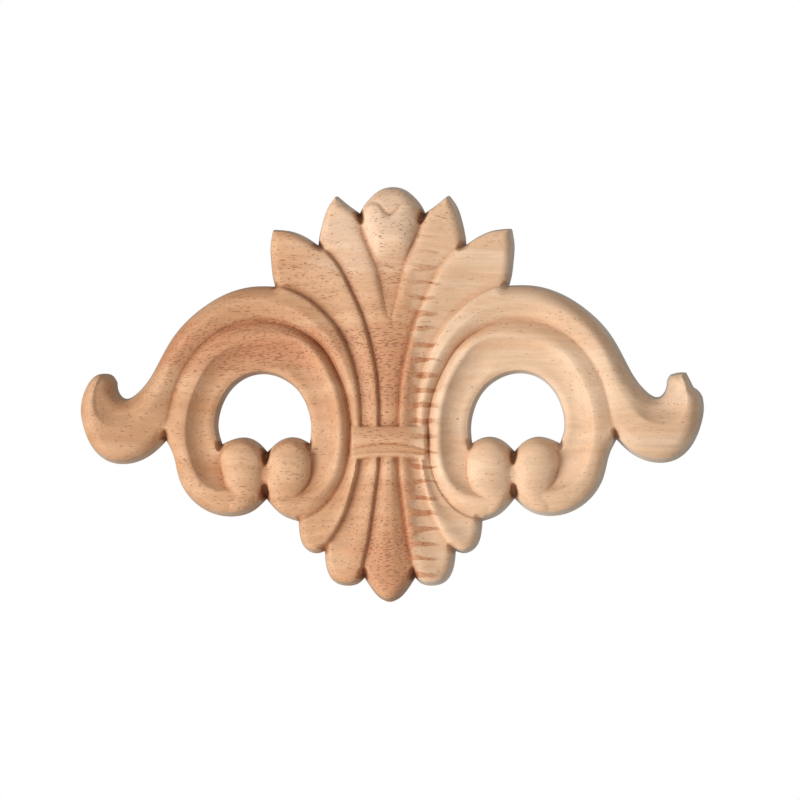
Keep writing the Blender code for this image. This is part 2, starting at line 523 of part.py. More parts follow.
def wall_pairs(loop, flare, loops):
    """Points of an outline on the back, each with its point on the edge of the carved face.

    Each point moves in along the outline's normal by the wall's flare. At an inward corner the point is
    repeated in a fan of normals, and where the moved points would cross they gather at the nearest clear one."""
    before = loop - np.roll(loop, 1, axis=0)
    after = np.roll(before, -1, axis=0)
    before = before / np.linalg.norm(before, axis=1)[:, None]
    after = after / np.linalg.norm(after, axis=1)[:, None]
    turn = np.arctan2(before[:, 0] * after[:, 1] - before[:, 1] * after[:, 0], (before * after).sum(axis=1))
    copies = np.where(turn > CORNER_TURN, np.ceil(turn / FAN_STEP).astype(int) + 1, 1)
    which = np.repeat(np.arange(len(loop)), copies)
    place = np.arange(len(which)) - np.repeat(np.cumsum(copies) - copies, copies)
    share = np.where(copies[which] > 1, place / np.maximum(copies[which] - 1, 1), 0.5)
    first = np.stack([before[:, 1], -before[:, 0]], axis=1)[which]
    last = np.stack([after[:, 1], -after[:, 0]], axis=1)[which]
    normal = first * (1.0 - share[:, None]) + last * share[:, None]
    normal /= np.linalg.norm(normal, axis=1)[:, None]
    stretch = np.where(copies[which] > 1, 1.0, 1.0 / np.maximum((normal * first).sum(axis=1), MITRE_LIMIT))
    back = loop[which]
    face = back + normal * (flare * stretch)[:, None]
    depth = depth_in_face(face[:, 0], face[:, 1], loops)
    good = np.flatnonzero(depth > -EDGE_SLACK)
    steps = np.abs(np.arange(len(face))[:, None] - good[None, :])
    nearest = good[np.minimum(steps, len(face) - steps).argmin(axis=1)]
    return back, face[nearest]


def ring_edges(loops):
    """Index pairs that close each of several loops laid end to end."""
    pairs = []
    first = 0
    for loop in loops:
        here = first + np.arange(len(loop))
        pairs.append(np.stack([here, np.roll(here, -1)], axis=1))
        first += len(loop)
    return np.concatenate(pairs)


def triangulate(points, edges, loops):
    """Triangles over the points that keep the fixed edges and lie inside the loops."""
    flat = [Vector(p) for p in points.tolist()]
    places, _, faces, origins, _, _ = delaunay_2d_cdt(flat, edges.tolist(), [], 0, TINY)
    places = np.array([tuple(p) for p in places])
    triangles = np.array(faces)
    middle = places[triangles].mean(axis=1)
    wood = inside(middle[:, 0], middle[:, 1], loops[0])
    for hole in loops[1:]:
        wood &= ~inside(middle[:, 0], middle[:, 1], hole)
    index = np.zeros(len(points), int)
    counts = [len(o) for o in origins]
    index[np.concatenate([np.array(o, int) for o in origins])] = np.repeat(np.arange(len(origins)), counts)
    return places, triangles[wood], index


def offset_line(line, offset):
    """A line beside the given one, at a fixed distance to its left."""
    along = np.gradient(line, axis=0)
    along = along / np.linalg.norm(along, axis=1)[:, None]
    return line + offset * np.stack([-along[:, 1], along[:, 0]], axis=1)


def circle(x, z, radius, count):
    """A closed ring of points round a place."""
    angles = np.linspace(0.0, 2.0 * math.pi, count + 1)
    return np.stack([x + radius * np.cos(angles), z + radius * np.sin(angles)], axis=1)


def carving_lines():
    """Lines of the right half along which the facets turn: crests, grooves and both sides of each step."""
    lines = [smooth_curve(line, LINE_SPACING) for line in (GROOVE, BAND_CREST_LINE, LIP_CUT)]
    for cut in (BUD_CUT, LEAF_CUT, SCROLL_CUT, OUTER_LOBE_CUT, INNER_LOBE_CUT):
        line = smooth_curve(cut, LINE_SPACING)
        lines += [offset_line(line, STEP_WIDTH / 2.0), offset_line(line, -STEP_WIDTH / 2.0)]
    edge = smooth_curve(CHANNEL_EDGE, LINE_SPACING)
    lines += [offset_line(edge, offset) for offset in RIDGE_LINES]
    for swelling in (OUTER_SWELLING, INNER_SWELLING):
        lines.append(smooth_curve(swelling, LINE_SPACING)[:, :2])
        x, z, half_width = swelling[-1][:3]
        lines += [circle(x, z, share * half_width, count) for share, count in BALL_RINGS]
    return lines


def strap_lines():
    """The strap's lines on the right half: both sides of its edges, and its two grooves."""
    across = np.linspace(0.0, STRAP_HALF_WIDTH, STRAP_POINTS)
    half = STRAP_EDGE / 2.0
    rows = [(STRAP_TOP + half, 0.0), (STRAP_TOP - half, 0.0), UPPER_STRAP_GROOVE, LOWER_STRAP_GROOVE]
    rows += [(STRAP_FOOT[0] + half, STRAP_FOOT[1]), (STRAP_FOOT[0] - half, STRAP_FOOT[1])]
    return [np.stack([across, row - drop * (across / STRAP_ARCH_AT)**2], axis=1) for row, drop in rows]


def off_the_strap(line):
    """Whether each point lies clear of the strap."""
    foot = STRAP_FOOT[0] - STRAP_FOOT[1] * (line[:, 0] / STRAP_ARCH_AT)**2
    above = line[:, 1] > STRAP_TOP + STRAP_MARGIN
    below = line[:, 1] < foot - STRAP_MARGIN
    return above | below | (line[:, 0] > STRAP_HALF_WIDTH)


def kept_runs(line, keep):
    """The runs of a line whose points are kept."""
    breaks = np.flatnonzero(np.diff(keep.astype(int))) + 1
    runs = [run for run in np.split(np.arange(len(line)), breaks) if keep[run[0]]]
    return [line[run] for run in runs if len(run) > 1]


def fill_points(fixed, loops):
    """An even fill of the face by rows of points, each row half a step along, clear of the fixed points."""
    rows = np.arange(FILL_BOTTOM, FILL_TOP, FILL_SPACING * math.sqrt(3.0) / 2.0)
    columns = np.arange(-FILL_HALF_WIDTH, FILL_HALF_WIDTH, FILL_SPACING)
    x, z = np.meshgrid(columns, rows)
    x[1::2] += FILL_SPACING / 2.0
    fill = np.stack([x.ravel(), z.ravel()], axis=1)
    fill = fill[depth_in_face(fill[:, 0], fill[:, 1], loops) > FILL_MARGIN]
    gap = np.hypot(fill[:, 0, None] - fixed[:, 0], fill[:, 1, None] - fixed[:, 1]).min(axis=1)
    return fill[gap > LINE_CLEARANCE]


def face_points(loops, face_loops):
    """Points and fixed edges of the carved face: its rim, the carving lines and an even fill."""
    points = list(face_loops)
    edges = [ring_edges(face_loops)]
    count = sum(len(loop) for loop in face_loops)
    halves = [(line, off_the_strap(line)) for line in carving_lines()]
    halves += [(line, np.ones(len(line), bool)) for line in strap_lines()]
    for half, clear in halves:
        for side in (1.0, -1.0):
            line = half * (side, 1.0)
            depth = depth_in_face(line[:, 0], line[:, 1], loops)
            keep = clear & (depth > LINE_MARGIN) & (half[:, 0] > -TINY)
            for run in kept_runs(line, keep):
                here = count + np.arange(len(run))
                edges.append(np.stack([here[:-1], here[1:]], axis=1))
                points.append(run)
                count += len(run)
    fixed = np.concatenate(points)
    return np.concatenate([fixed, fill_points(fixed, loops)]), np.concatenate(edges)


def applique_mesh():
    """The closed solid: carved face, leaning sawn edge and flat back."""
    loops = outline_loops(EDGE_SPACING)
    flares = (WALL_FLARE, HOLE_FLARE, HOLE_FLARE)
    pairs = [wall_pairs(loop, flare, loops) for loop, flare in zip(loops, flares)]
    back_loops = [pair[0] for pair in pairs]
    face_loops = [pair[1] for pair in pairs]
    points, edges = face_points(loops, face_loops)
    face_places, face, face_index = triangulate(points, edges, face_loops)
    around = ring_edges(back_loops)
    back_places, back, back_index = triangulate(np.concatenate(back_loops), around, back_loops)

    x, z = face_places.T
    fine_loops = outline_loops(MEASURE_SPACING)
    height = carving(np.abs(x), z, fine_loops) - edge_roll(depth_in_face(x, z, fine_loops))
    flat = np.concatenate([face_places, back_places])
    height = np.concatenate([height, np.zeros(len(back_places))])
    vertices = np.column_stack([flat[:, 0] + LEAN * flat[:, 1], -height, flat[:, 1]]) * MM
    first_back = len(face_places)
    a, b = face_index[around[:, 0]], face_index[around[:, 1]]
    c, d = first_back + back_index[around[:, 1]], first_back + back_index[around[:, 0]]
    wall = np.concatenate([np.stack([a, b, c], axis=1), np.stack([a, c, d], axis=1)])
    triangles = np.concatenate([face, wall, back[:, ::-1] + first_back])
    whole = (triangles[:, 0] != triangles[:, 1]) & (triangles[:, 1] != triangles[:, 2])
    return vertices, triangles[whole & (triangles[:, 0] != triangles[:, 2])]


def wood_material():
    """Bare sanded wood."""
    material = bpy.data.materials.new("applique_wood")
    material.use_nodes = True
    shader = material.node_tree.nodes["Principled BSDF"]
    shader.inputs["Base Color"].default_value = WOOD_COLOUR
    shader.inputs["Roughness"].default_value = WOOD_ROUGHNESS
    shader.inputs["Metallic"].default_value = 0.0
    return material


def main():
    for leftover in list(bpy.data.objects):
        bpy.data.objects.remove(leftover)
    vertices, triangles = applique_mesh()
    mesh = bpy.data.meshes.new(NODE)
    mesh.from_pydata(vertices.tolist(), [], triangles.tolist())
    mesh.validate()
    mesh.materials.append(wood_material())
    applique = bpy.data.objects.new(NODE, mesh)
    bpy.context.collection.objects.link(applique)


main()
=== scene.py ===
"""The looks of the carved applique: its carved face, leaning sawn edge and flat back, in jointed wood.

Metres, +Z up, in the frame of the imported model: the flat back lies in the plane y = 0 and the carved face
looks along -Y. The drawing is in millimetres and repeats the model's. It gives the right half, and the left
half is its mirror image.
"""

import math

import bpy
import numpy as np
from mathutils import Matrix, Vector
from mathutils.geometry import delaunay_2d_cdt

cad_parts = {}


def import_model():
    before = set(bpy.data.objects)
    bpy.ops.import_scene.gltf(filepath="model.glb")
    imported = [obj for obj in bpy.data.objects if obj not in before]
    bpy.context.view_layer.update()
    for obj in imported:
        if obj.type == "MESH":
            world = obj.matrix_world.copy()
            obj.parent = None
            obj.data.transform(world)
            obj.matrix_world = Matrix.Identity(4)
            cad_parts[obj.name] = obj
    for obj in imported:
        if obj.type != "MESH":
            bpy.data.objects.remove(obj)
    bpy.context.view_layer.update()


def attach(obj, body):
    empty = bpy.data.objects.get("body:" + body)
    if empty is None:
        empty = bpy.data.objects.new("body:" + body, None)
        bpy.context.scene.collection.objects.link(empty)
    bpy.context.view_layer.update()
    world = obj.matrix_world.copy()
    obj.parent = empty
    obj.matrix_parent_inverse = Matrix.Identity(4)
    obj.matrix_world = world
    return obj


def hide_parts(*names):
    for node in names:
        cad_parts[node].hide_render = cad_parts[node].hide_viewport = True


MM = 0.001

# How the piece is made, in millimetres
WALL_FLARE = 0.85       # the sawn edge leans out by this much from the face to the back
HOLE_FLARE = 0.6        # and that of a hole by this much
FLARES = (WALL_FLARE, HOLE_FLARE, HOLE_FLARE)
EDGE_ROLL = 0.7         # the carved face rolls down by this much along its edge
EDGE_ROLL_WIDTH = 1.7
STEP_WIDTH = 0.8        # a cut step between two leaves is this wide
GROOVE_STEP = 0.5       # the groove round the ring changes sides over this width
LEAN = 0.007            # the carving leans this much to the right for each millimetre up

# Heights of the carving above the back, in millimetres
BUD_TOP = 9.9
BUD_STEM = 6.5
STEM_CREST = 7.1
STEM_SIDE = 6.4
BAND_CREST = 8.6
BAND_AT_LEAF = 7.7
GROOVE_INSIDE = 6.1      # the ring's groove is this high beside the strap
GROOVE_OUTSIDE = 7.3     # and this high beside the hook
RIDGE_CREST = 8.2
RIDGE_AT_EDGE = 6.7
BAND_AT_EDGE = 7.4
BALL_FOOT = 6.1

# Cross sections from one cut line to the next: share of the way, height
INNER_LEAF_SECTION = ((0.0, 0.1, 0.3, 0.6, 1.0), (6.6, 7.2, 7.5, 7.2, 6.3))
OUTER_LEAF_SECTION = ((0.0, 0.15, 0.5, 1.0), (7.5, 7.65, 7.15, 6.45))
OUTER_LOBE_SECTION = ((0.0, 0.45, 0.85, 1.0), (6.7, 7.0, 7.75, 7.6))
INNER_LOBE_SECTION = ((0.0, 0.45, 0.85, 1.0), (6.3, 6.65, 7.45, 7.3))
MIDDLE_LOBE_SECTION = ((0.0, 0.35, 0.65, 0.85, 1.0), (6.15, 6.8, 7.35, 7.55, 7.55))
RIDGE_SECTION = ((0.0, 0.2, 0.5, 0.8, 1.0), (0.0, 0.32, 0.79, 1.0, 0.93))     # share of its rise
CHANNEL_SECTION = ((0.0, 0.12, 0.3, 0.55, 0.8, 1.0), (8.05, 7.3, 6.55, 6.05, 6.05, 6.3))

# Outline of the right half on the back, stretch by stretch, with a corner where two stretches meet
BUD_EDGE = ((-7.9, 55.6), (-6.9, 57.5), (-5.5, 59.2), (-3.2, 61.1), (0.0, 61.9),
            (3.2, 61.1), (5.5, 59.2), (6.9, 57.5), (7.9, 55.6))
INNER_LEAF_EDGES = (((7.9, 55.6), (10.3, 57.3), (13.1, 59.6)),
                    ((13.1, 59.6), (13.7, 59.7), (14.1, 59.3)),
                    ((14.1, 59.3), (15.5, 57.3), (16.9, 53.4), (17.7, 49.7), (17.9, 47.9)))
OUTER_LEAF_EDGES = (((17.9, 47.9), (20.4, 49.6), (24.5, 51.3), (28.2, 51.7)),
                    ((28.2, 51.7), (28.8, 51.6), (29.0, 51.1)),
                    ((29.0, 51.1), (29.5, 47.6), (29.3, 43.8), (28.8, 39.9), (28.3, 38.0)))
BAND_EDGE = ((28.3, 38.0), (33.4, 38.0), (40.5, 36.1), (46.8, 32.2), (52.5, 26.4), (56.9, 18.7),
             (60.9, 12.9), (64.5, 11.1), (66.0, 12.9), (66.3, 14.9))
HOOK_TIP = ((66.3, 14.9), (67.6, 16.7), (69.4, 17.1), (71.4, 16.7), (73.3, 14.8), (74.9, 11.0))
CHIPPED_TIP = (((66.3, 14.9), (66.6, 15.7), (67.1, 16.4)),
               ((67.1, 16.4), (69.0, 16.9), (70.9, 16.9)),
               ((70.9, 16.9), (71.8, 15.2), (72.7, 13.4)),
               ((72.7, 13.4), (74.1, 12.3), (74.9, 11.0)))
HOOK_EDGE = ((74.9, 11.0), (75.2, 8.9), (74.5, 4.2), (72.4, -0.6), (68.6, -4.0), (64.6, -4.8), (60.9, -4.1),
             (57.2, -2.0), (54.3, 0.8))
RING_EDGE = ((54.3, 0.8), (52.7, -2.5), (51.2, -8.3), (47.3, -14.1), (43.0, -16.7), (38.4, -17.5),
             (33.4, -16.3), (29.9, -13.3))
BALL_EDGE = ((29.9, -13.3), (28.6, -14.9), (25.9, -17.3), (22.2, -18.7))
OUTER_LOBE_EDGE = ((22.2, -18.7), (21.9, -21.8), (20.6, -25.0), (17.8, -26.4), (15.8, -25.9))
INNER_LOBE_EDGE = ((15.8, -25.9), (15.4, -29.5), (13.4, -33.2), (10.2, -34.2), (7.5, -33.6), (6.1, -32.3))
MIDDLE_LOBE_EDGES = (((6.1, -32.3), (4.2, -35.2), (2.0, -37.4), (0.7, -38.0)),
                     ((0.7, -38.0), (0.0, -38.1), (-0.7, -38.0)),
                     ((-0.7, -38.0), (-2.0, -37.4), (-4.2, -35.2), (-6.1, -32.3)))

# The hole through each scroll, with a ball standing into it from below on either side
OUTER_BALL = (35.7, -4.4, 6.0)
INNER_BALL = (23.8, -4.3, 5.9)
BALL_NOTCH = (29.8, -1.9)
HOLE_ARCH = ((40.7, 0.0), (41.6, 3.0), (41.2, 8.0), (38.6, 13.1), (34.8, 16.0), (30.5, 16.8), (26.2, 15.6),
             (22.4, 12.6), (19.9, 7.6), (19.3, 3.2), (19.6, 0.1))

# Cut lines of the carving on the right half
BUD_CUT = ((8.3, 57.5), (7.5, 54.0), (5.8, 48.8), (3.9, 44.0), (2.45, 39.0), (1.25, 34.0), (0.3, 30.4))
LEAF_CUT = ((22.0, 51.5), (17.8, 47.9), (12.8, 42.6), (9.9, 37.1), (7.75, 32.6), (5.85, 27.4), (4.45, 22.3),
            (3.3, 16.6), (2.8, 11.4), (2.5, 0.0))
SCROLL_CUT = ((30.5, 37.9), (28.3, 37.7), (24.2, 36.7), (20.0, 34.5), (15.9, 31.0), (13.1, 27.7),
              (10.9, 23.9), (8.8, 18.2), (7.7, 13.6), (7.1, 9.0), (7.0, 0.0))
BAND_CREST_LINE = ((7.8, 0.0), (7.9, 7.0), (8.8, 13.0), (11.4, 20.0), (15.4, 26.2), (21.4, 31.2),
                   (28.6, 33.8), (36.0, 33.4), (42.6, 30.4), (48.2, 25.6), (52.2, 19.4), (54.0, 15.3),
                   (57.1, 9.4), (61.6, 5.1), (65.0, 4.1), (68.4, 4.6), (70.6, 6.8), (71.3, 10.0),
                   (70.9, 13.4), (69.9, 15.9))
GROOVE = ((40.5, -18.6), (45.9, -16.4), (50.1, -11.6), (52.3, -5.4), (54.0, 0.8), (53.1, 6.8), (51.6, 12.9),
          (48.4, 19.5), (44.2, 24.4), (39.3, 27.6), (31.4, 29.4), (24.4, 28.2), (19.8, 25.9), (15.8, 22.3),
          (12.8, 17.2), (10.7, 12.2), (9.6, 7.0), (9.2, 0.4), (9.7, -4.2), (11.0, -9.0), (13.1, -12.8),
          (16.0, -16.0), (19.2, -17.8), (22.3, -18.8), (24.4, -19.6))
CHANNEL_EDGE = ((36.0, -11.6), (38.4, -11.8), (42.0, -11.2), (45.0, -9.4), (47.0, -5.9), (48.5, -1.2),
                (48.9, 4.4), (48.0, 9.6), (45.9, 15.0), (42.7, 19.8), (38.0, 23.1), (31.5, 24.9),
                (25.0, 24.9), (20.4, 23.1), (17.2, 19.2), (14.8, 14.9), (13.3, 10.4), (12.5, 5.6),
                (12.4, 0.8), (12.9, -4.4), (14.4, -8.5), (17.2, -11.6), (21.8, -13.2), (24.4, -13.3))
OUTER_LOBE_CUT = ((7.3, 0.0), (7.6, -5.5), (8.8, -11.2), (10.6, -17.0), (13.0, -21.6), (15.8, -25.6),
                  (18.0, -28.5))
INNER_LOBE_CUT = ((2.4, 0.0), (2.7, -6.5), (3.4, -12.4), (4.3, -19.0), (5.5, -26.0), (6.3, -30.0),
                  (6.1, -32.6), (5.8, -35.5))
LIP_CUT = ((0.0, 54.3), (1.0, 54.8), (2.2, 56.2), (3.2, 57.2), (4.9, 57.3), (6.6, 56.8))

# The stem below the leaves, and where the lobes end
STEM_TOP = 30.0         # the inner leaves turn into the stem round this height, over the blend
STEM_BLEND = 14.0
LOBES_REACH = 40.0

# The bud: a dome whose top is cut back behind a lip
BUD_CENTRE = 50.5
BUD_SIDE = 0.88         # the share of its rise that the dome loses at its side
BUD_REACH_UP = 12.1
BUD_REACH_DOWN = 8.0
BUD_ROUNDNESS = 0.85
BUD_FADE = 1.5          # the power of its fall towards the stem
BUD_TIP = 34.0          # its stem rises round this height, over the blend, and ends flush with the leaves
BUD_TIP_BLEND = 9.0
LIP_DROP = 0.6
LIP_WIDTH = 0.9
LIP_DEPTH = 0.25
LIP_GROOVE = 0.6
LIP_END = 5.4
LIP_FADE = 2.4

# The ring's groove rises round this distance from the axis, over the width
GROOVE_RISE = 40.0
GROOVE_RISE_WIDTH = 18.0

# The band is lower where it is narrow, and scooped inside the hook
BAND_FULL_WIDTH = 2.6   # half its width from which its crest has its full height
BAND_NARROWING = 2.2    # its crest would be this much lower at no width
SIDE_NARROWING = 1.0    # and its side by the leaf this much lower
HOOK_START = 60.0
HOOK_BLEND = 6.0
SCOOP_BLEND = 0.5
SCOOP_POWER = 1.5
FLANK_DROP = 1.0        # its outer flank falls this much further, from round this distance on
FLANK_START = 44.0
FLANK_BLEND = 16.0
BAND_ROLL = 1.1         # it rolls down by this much towards the outline, over this width
BAND_ROLL_WIDTH = 2.6
ROLL_POWER = 1.5

# Each end of the ring swells into a ball, from the ring to the ball: place, half width, height, roundness,
# height of the foot
CHANNEL_WIDTH = 7.0     # beyond the hole's reach the channel is this wide
SWELLING_SPACING = 0.25
OUTER_SWELLING = ((36.3, -14.2, 3.1, 8.1, 0.9, 7.0), (35.2, -11.9, 3.8, 8.5, 0.8, 6.7),
                  (35.0, -9.2, 4.5, 9.1, 0.65, 6.4), (35.1, -6.8, 5.0, 9.45, 0.55, BALL_FOOT),
                  (35.3, -4.4, 5.4, 9.6, 0.5, BALL_FOOT))
INNER_SWELLING = ((25.6, -14.4, 3.2, 8.1, 0.9, 7.0), (25.1, -12.0, 3.9, 8.5, 0.8, 6.7),
                  (24.5, -9.6, 4.8, 9.0, 0.65, 6.4), (24.1, -7.2, 5.3, 9.4, 0.55, BALL_FOOT),
                  (24.1, -4.6, 5.4, 9.6, 0.5, BALL_FOOT))
SADDLE = (29.8, -7.2, 7.5)      # between the balls: place, height
SADDLE_REACH = (3.0, 2.6)       # across and along, it is a millimetre lower at this distance
SADDLE_SOFTNESS = 0.6

# The strap: heights of its top and of its three lower lines at the middle, how far each line drops at the
# arch's distance from the axis, and how each fillet rises
STRAP_TOP = 3.85
STRAP_HALF_WIDTH = 9.0
STRAP_ARCH_AT = 7.0
UPPER_STRAP_GROOVE = (-0.25, 0.8)
LOWER_STRAP_GROOVE = (-2.0, 0.35)
STRAP_FOOT = (-3.45, 0.5)
STRAP_BASE = 7.95
STRAP_FALL = 0.35
STRAP_ROUNDNESS = 1.1
WIDE_FILLET = (0.7, 0.55)      # rise, and the power that draws its crest down
BEAD = (0.4, 1.0)
NARROW_FILLET = (0.4, 1.0)
STRAP_EDGE = 0.7
STRAP_END = 1.1

# Nicks of the cutter in the notches of the outline: the notch, the nick's inner end, half width, depth
NICKS = ((7.9, 55.6, 6.6, 52.2, 1.4, 5.5), (17.9, 47.9, 15.9, 45.9, 1.2, 4.0),
         (28.3, 38.0, 26.6, 37.4, 1.0, 2.4), (54.3, 0.8, 53.8, 3.6, 1.1, 4.4),
         (29.9, -13.3, 29.8, -9.4, 1.5, 5.0), (29.8, -1.9, 29.8, -5.6, 1.5, 5.0),
         (22.2, -18.7, 20.6, -17.2, 0.9, 1.8), (15.8, -25.9, 14.3, -23.9, 1.2, 3.0),
         (6.1, -32.3, 6.0, -29.5, 1.4, 4.0), (40.7, 0.0, 41.1, -2.1, 1.1, 3.2),
         (19.6, 0.1, 19.3, -2.0, 1.0, 3.2))

# How curves and distances are read
TINY = 1e-6             # as good as nothing
CURVE_STEPS = 24        # steps to each point of a curve, before it is read at an even spacing
ARC_POINTS = 5
MEASURE_BATCH = 4000    # points measured at a time
LEAST_GAP = 0.02        # a distance to a limit of the band counts at least this many millimetres
CORNER_TURN = 0.5       # an outline turns a corner where it turns by more than this, in radians
MITRE_LIMIT = 0.5       # at a sharp outward corner the edge moves in by at most one over this times its flare
EDGE_SLACK = 0.03       # a point of the face's edge may lie this far outside it, in millimetres

# Spacing of the fine surface, in millimetres
GRID_SPACING = 0.3
GRID_HALF_WIDTH = 77.4
GRID_BOTTOM = -40.2
GRID_TOP = 64.2
RIM_SPACING = 0.3
FAN_STEP = 0.3          # an inward corner's normals are this far apart, in radians
RIM_STRIP = 0.45        # the even grid stops this far inside the edge of the face
MEASURE_SPACING = 0.6   # points this far apart make the lines that distances are measured to
CURVE_REACH = 4         # the carving's hollows are measured over this many steps of the grid
WANDER = 0.03           # the cutter wanders up and down by this much
WANDER_WAVES = ((0.61, 0.35, 0.0), (-0.33, 0.47, 1.3), (0.21, 1.13, 2.1))   # radians a millimetre, phase

HOLLOW_START = 1.1      # hollows count from about this far inside the edge, over the fade
HOLLOW_FADE = 2.0
# the nicks' painted shade is carried in the same hollowness as that of the creases
NICK_SHADE = 0.35       # a nick a millimetre deep looks as dark as a crease of this hollowness

# The sawn edge from the carved face to the back: share of the height gone down, and of the flare gone out
WALL_PROFILE = ((0.04, 0.1), (0.14, 0.24), (0.4, 0.46), (0.72, 0.74))


# The drawing

def spline_bends(knots, values):
    """Second derivatives at the knots of the natural cubic spline through the values."""
    gaps = np.diff(knots)
    count = len(knots)
    matrix = np.eye(count)
    right = np.zeros((count,) + values.shape[1:])
    for i in range(1, count - 1):
        matrix[i, i - 1:i + 2] = (gaps[i - 1], 2.0 * (gaps[i - 1] + gaps[i]), gaps[i])
        rise = (values[i + 1] - values[i]) / gaps[i]
        right[i] = 6.0 * (rise - (values[i] - values[i - 1]) / gaps[i - 1])
    return np.linalg.solve(matrix, right)


def spline(knots, values, at):
    """The natural cubic spline through the values at the knots, read at the given places."""
    knots = np.asarray(knots, float)
    values = np.asarray(values, float)
    bends = spline_bends(knots, values)
    at = np.clip(at, knots[0], knots[-1])
    i = np.clip(np.searchsorted(knots, at, side="right") - 1, 0, len(knots) - 2)
    gap = knots[i + 1] - knots[i]
    a = (knots[i + 1] - at) / gap
    b = 1.0 - a
    if values.ndim == 2:
        a, b, gap = a[:, None], b[:, None], gap[:, None]
    curve = a * values[i] + b * values[i + 1]
    return curve + ((a**3 - a) * bends[i] + (b**3 - b) * bends[i + 1]) * gap**2 / 6.0


def run_along(line):
    """The length of a line up to each of its points."""
    return np.concatenate([[0.0], np.cumsum(np.linalg.norm(np.diff(line[:, :2], axis=0), axis=1))])


def smooth_curve(points, spacing):
    """A smooth curve through the points, read again at an even spacing along its length."""
    points = np.asarray(points, float)
    chords = run_along(points)
    fine = spline(chords, points, np.linspace(0.0, chords[-1], CURVE_STEPS * len(points)))
    run = run_along(fine)
    even = np.linspace(0.0, run[-1], max(2, round(run[-1] / spacing) + 1))
    return np.stack([np.interp(even, run, column) for column in fine.T], axis=1)


def arc(circle, start, end):
    """The shorter arc of a circle (centre x, centre z, radius) from one point beside it to another."""
    x, z, radius = circle
    first = math.atan2(start[1] - z, start[0] - x)
    last = math.atan2(end[1] - z, end[0] - x)
    turn = (last - first + math.pi) % (2.0 * math.pi) - math.pi
    angles = first + turn * np.linspace(0.0, 1.0, ARC_POINTS)
    points = np.stack([x + radius * np.cos(angles), z + radius * np.sin(angles)], axis=1)
    points[0] = start
    points[-1] = end
    return points


def mirrored(points):
    """The stretch on the other half, walked the other way."""
    return [(-p[0], p[1]) for p in reversed(points)]


def join_stretches(stretches, spacing):
    """One closed loop from stretches that meet at corners."""
    return np.concatenate([smooth_curve(stretch, spacing)[:-1] for stretch in stretches])


def outer_loop(spacing):
    """The outline of the back, clockwise as seen from the front."""
    upper = [*INNER_LEAF_EDGES, *OUTER_LEAF_EDGES, BAND_EDGE]
    lower = [HOOK_EDGE, RING_EDGE, BALL_EDGE, OUTER_LOBE_EDGE, INNER_LOBE_EDGE]
    right = [*upper, *CHIPPED_TIP, *lower]
    left = [*upper, HOOK_TIP, *lower]
    stretches = [BUD_EDGE, *right, *MIDDLE_LOBE_EDGES, *[mirrored(s) for s in reversed(left)]]
    return join_stretches(stretches, spacing)


def hole_loop(spacing):
    """The outline of the right scroll's hole on the back, counter-clockwise as seen from the front."""
    inner_ball = arc(INNER_BALL, HOLE_ARCH[-1], BALL_NOTCH)
    outer_ball = arc(OUTER_BALL, BALL_NOTCH, HOLE_ARCH[0])
    return join_stretches([HOLE_ARCH, inner_ball, outer_ball], spacing)


def outline_loops(spacing):
    """The three loops of the outline: the outside, and the hole of each scroll."""
    hole = hole_loop(spacing)
    other = hole[::-1] * (-1.0, 1.0)
    return [outer_loop(spacing), hole, other]


def measure(x, z, line, closed=False):
    """Distance of each point from a line, positive on the left of the line's direction."""
    ends = np.roll(line, -1, axis=0) if closed else line[1:]
    starts = line if closed else line[:-1]
    along = ends - starts
    length = (along**2).sum(axis=1)
    distance = np.empty(len(x))
    for first in range(0, len(x), MEASURE_BATCH):
        part = slice(first, first + MEASURE_BATCH)
        dx = x[part, None] - starts[None, :, 0]
        dz = z[part, None] - starts[None, :, 1]
        share = np.clip((dx * along[:, 0] + dz * along[:, 1]) / length, 0.0, 1.0)
        gap = (dx - share * along[:, 0])**2 + (dz - share * along[:, 1])**2
        near = gap.argmin(axis=1)
        row = np.arange(len(near))
        side = along[near, 0] * dz[row, near] - along[near, 1] * dx[row, near]
        distance[part] = np.sqrt(gap[row, near]) * np.where(side < 0.0, -1.0, 1.0)
    return distance


def measure_cut(x, z, points):
    """Distance of each point from the smooth curve through a cut line's points."""
    return measure(x, z, smooth_curve(points, MEASURE_SPACING))


def inside(x, z, loop):
    """Whether each point lies inside a closed loop."""
    ends = np.roll(loop, -1, axis=0)
    result = np.zeros(len(x), bool)
    for (x0, z0), (x1, z1) in zip(loop, ends):
        crosses = (z0 > z) != (z1 > z)
        if z0 != z1:
            result ^= crosses & (x < x0 + (z - z0) * (x1 - x0) / (z1 - z0))
    return result


def in_wood(x, z, loops):
    """Whether each point lies inside the first loop and outside the others, which are holes."""
    wood = inside(x, z, loops[0])
    for hole in loops[1:]:
        wood &= ~inside(x, z, hole)
    return wood


def depth_in_face(x, z, loops):
    """Distance in from the edge of the carved face, negative on the sawn edge, in a hole or outside."""
    gaps = [np.abs(measure(x, z, loop, closed=True)) - flare for loop, flare in zip(loops, FLARES)]
    depth = np.min(gaps, axis=0)
    return np.where(in_wood(x, z, loops), depth, -np.abs(depth))


def swell(value, width):
    """A smooth rise from 0 to 1 as a distance goes from -width/2 to +width/2."""
    t = np.clip(value / width + 0.5, 0.0, 1.0)
    return t * t * (3.0 - 2.0 * t)


def between(first, second, share):
    """The value a share of the way from the first to the second."""
    return first + (second - first) * share


def share_across(first, second):
    """Share of the way across from one cut line to another, from the distances to both."""
    return np.abs(first) / (np.abs(first) + np.abs(second) + TINY)


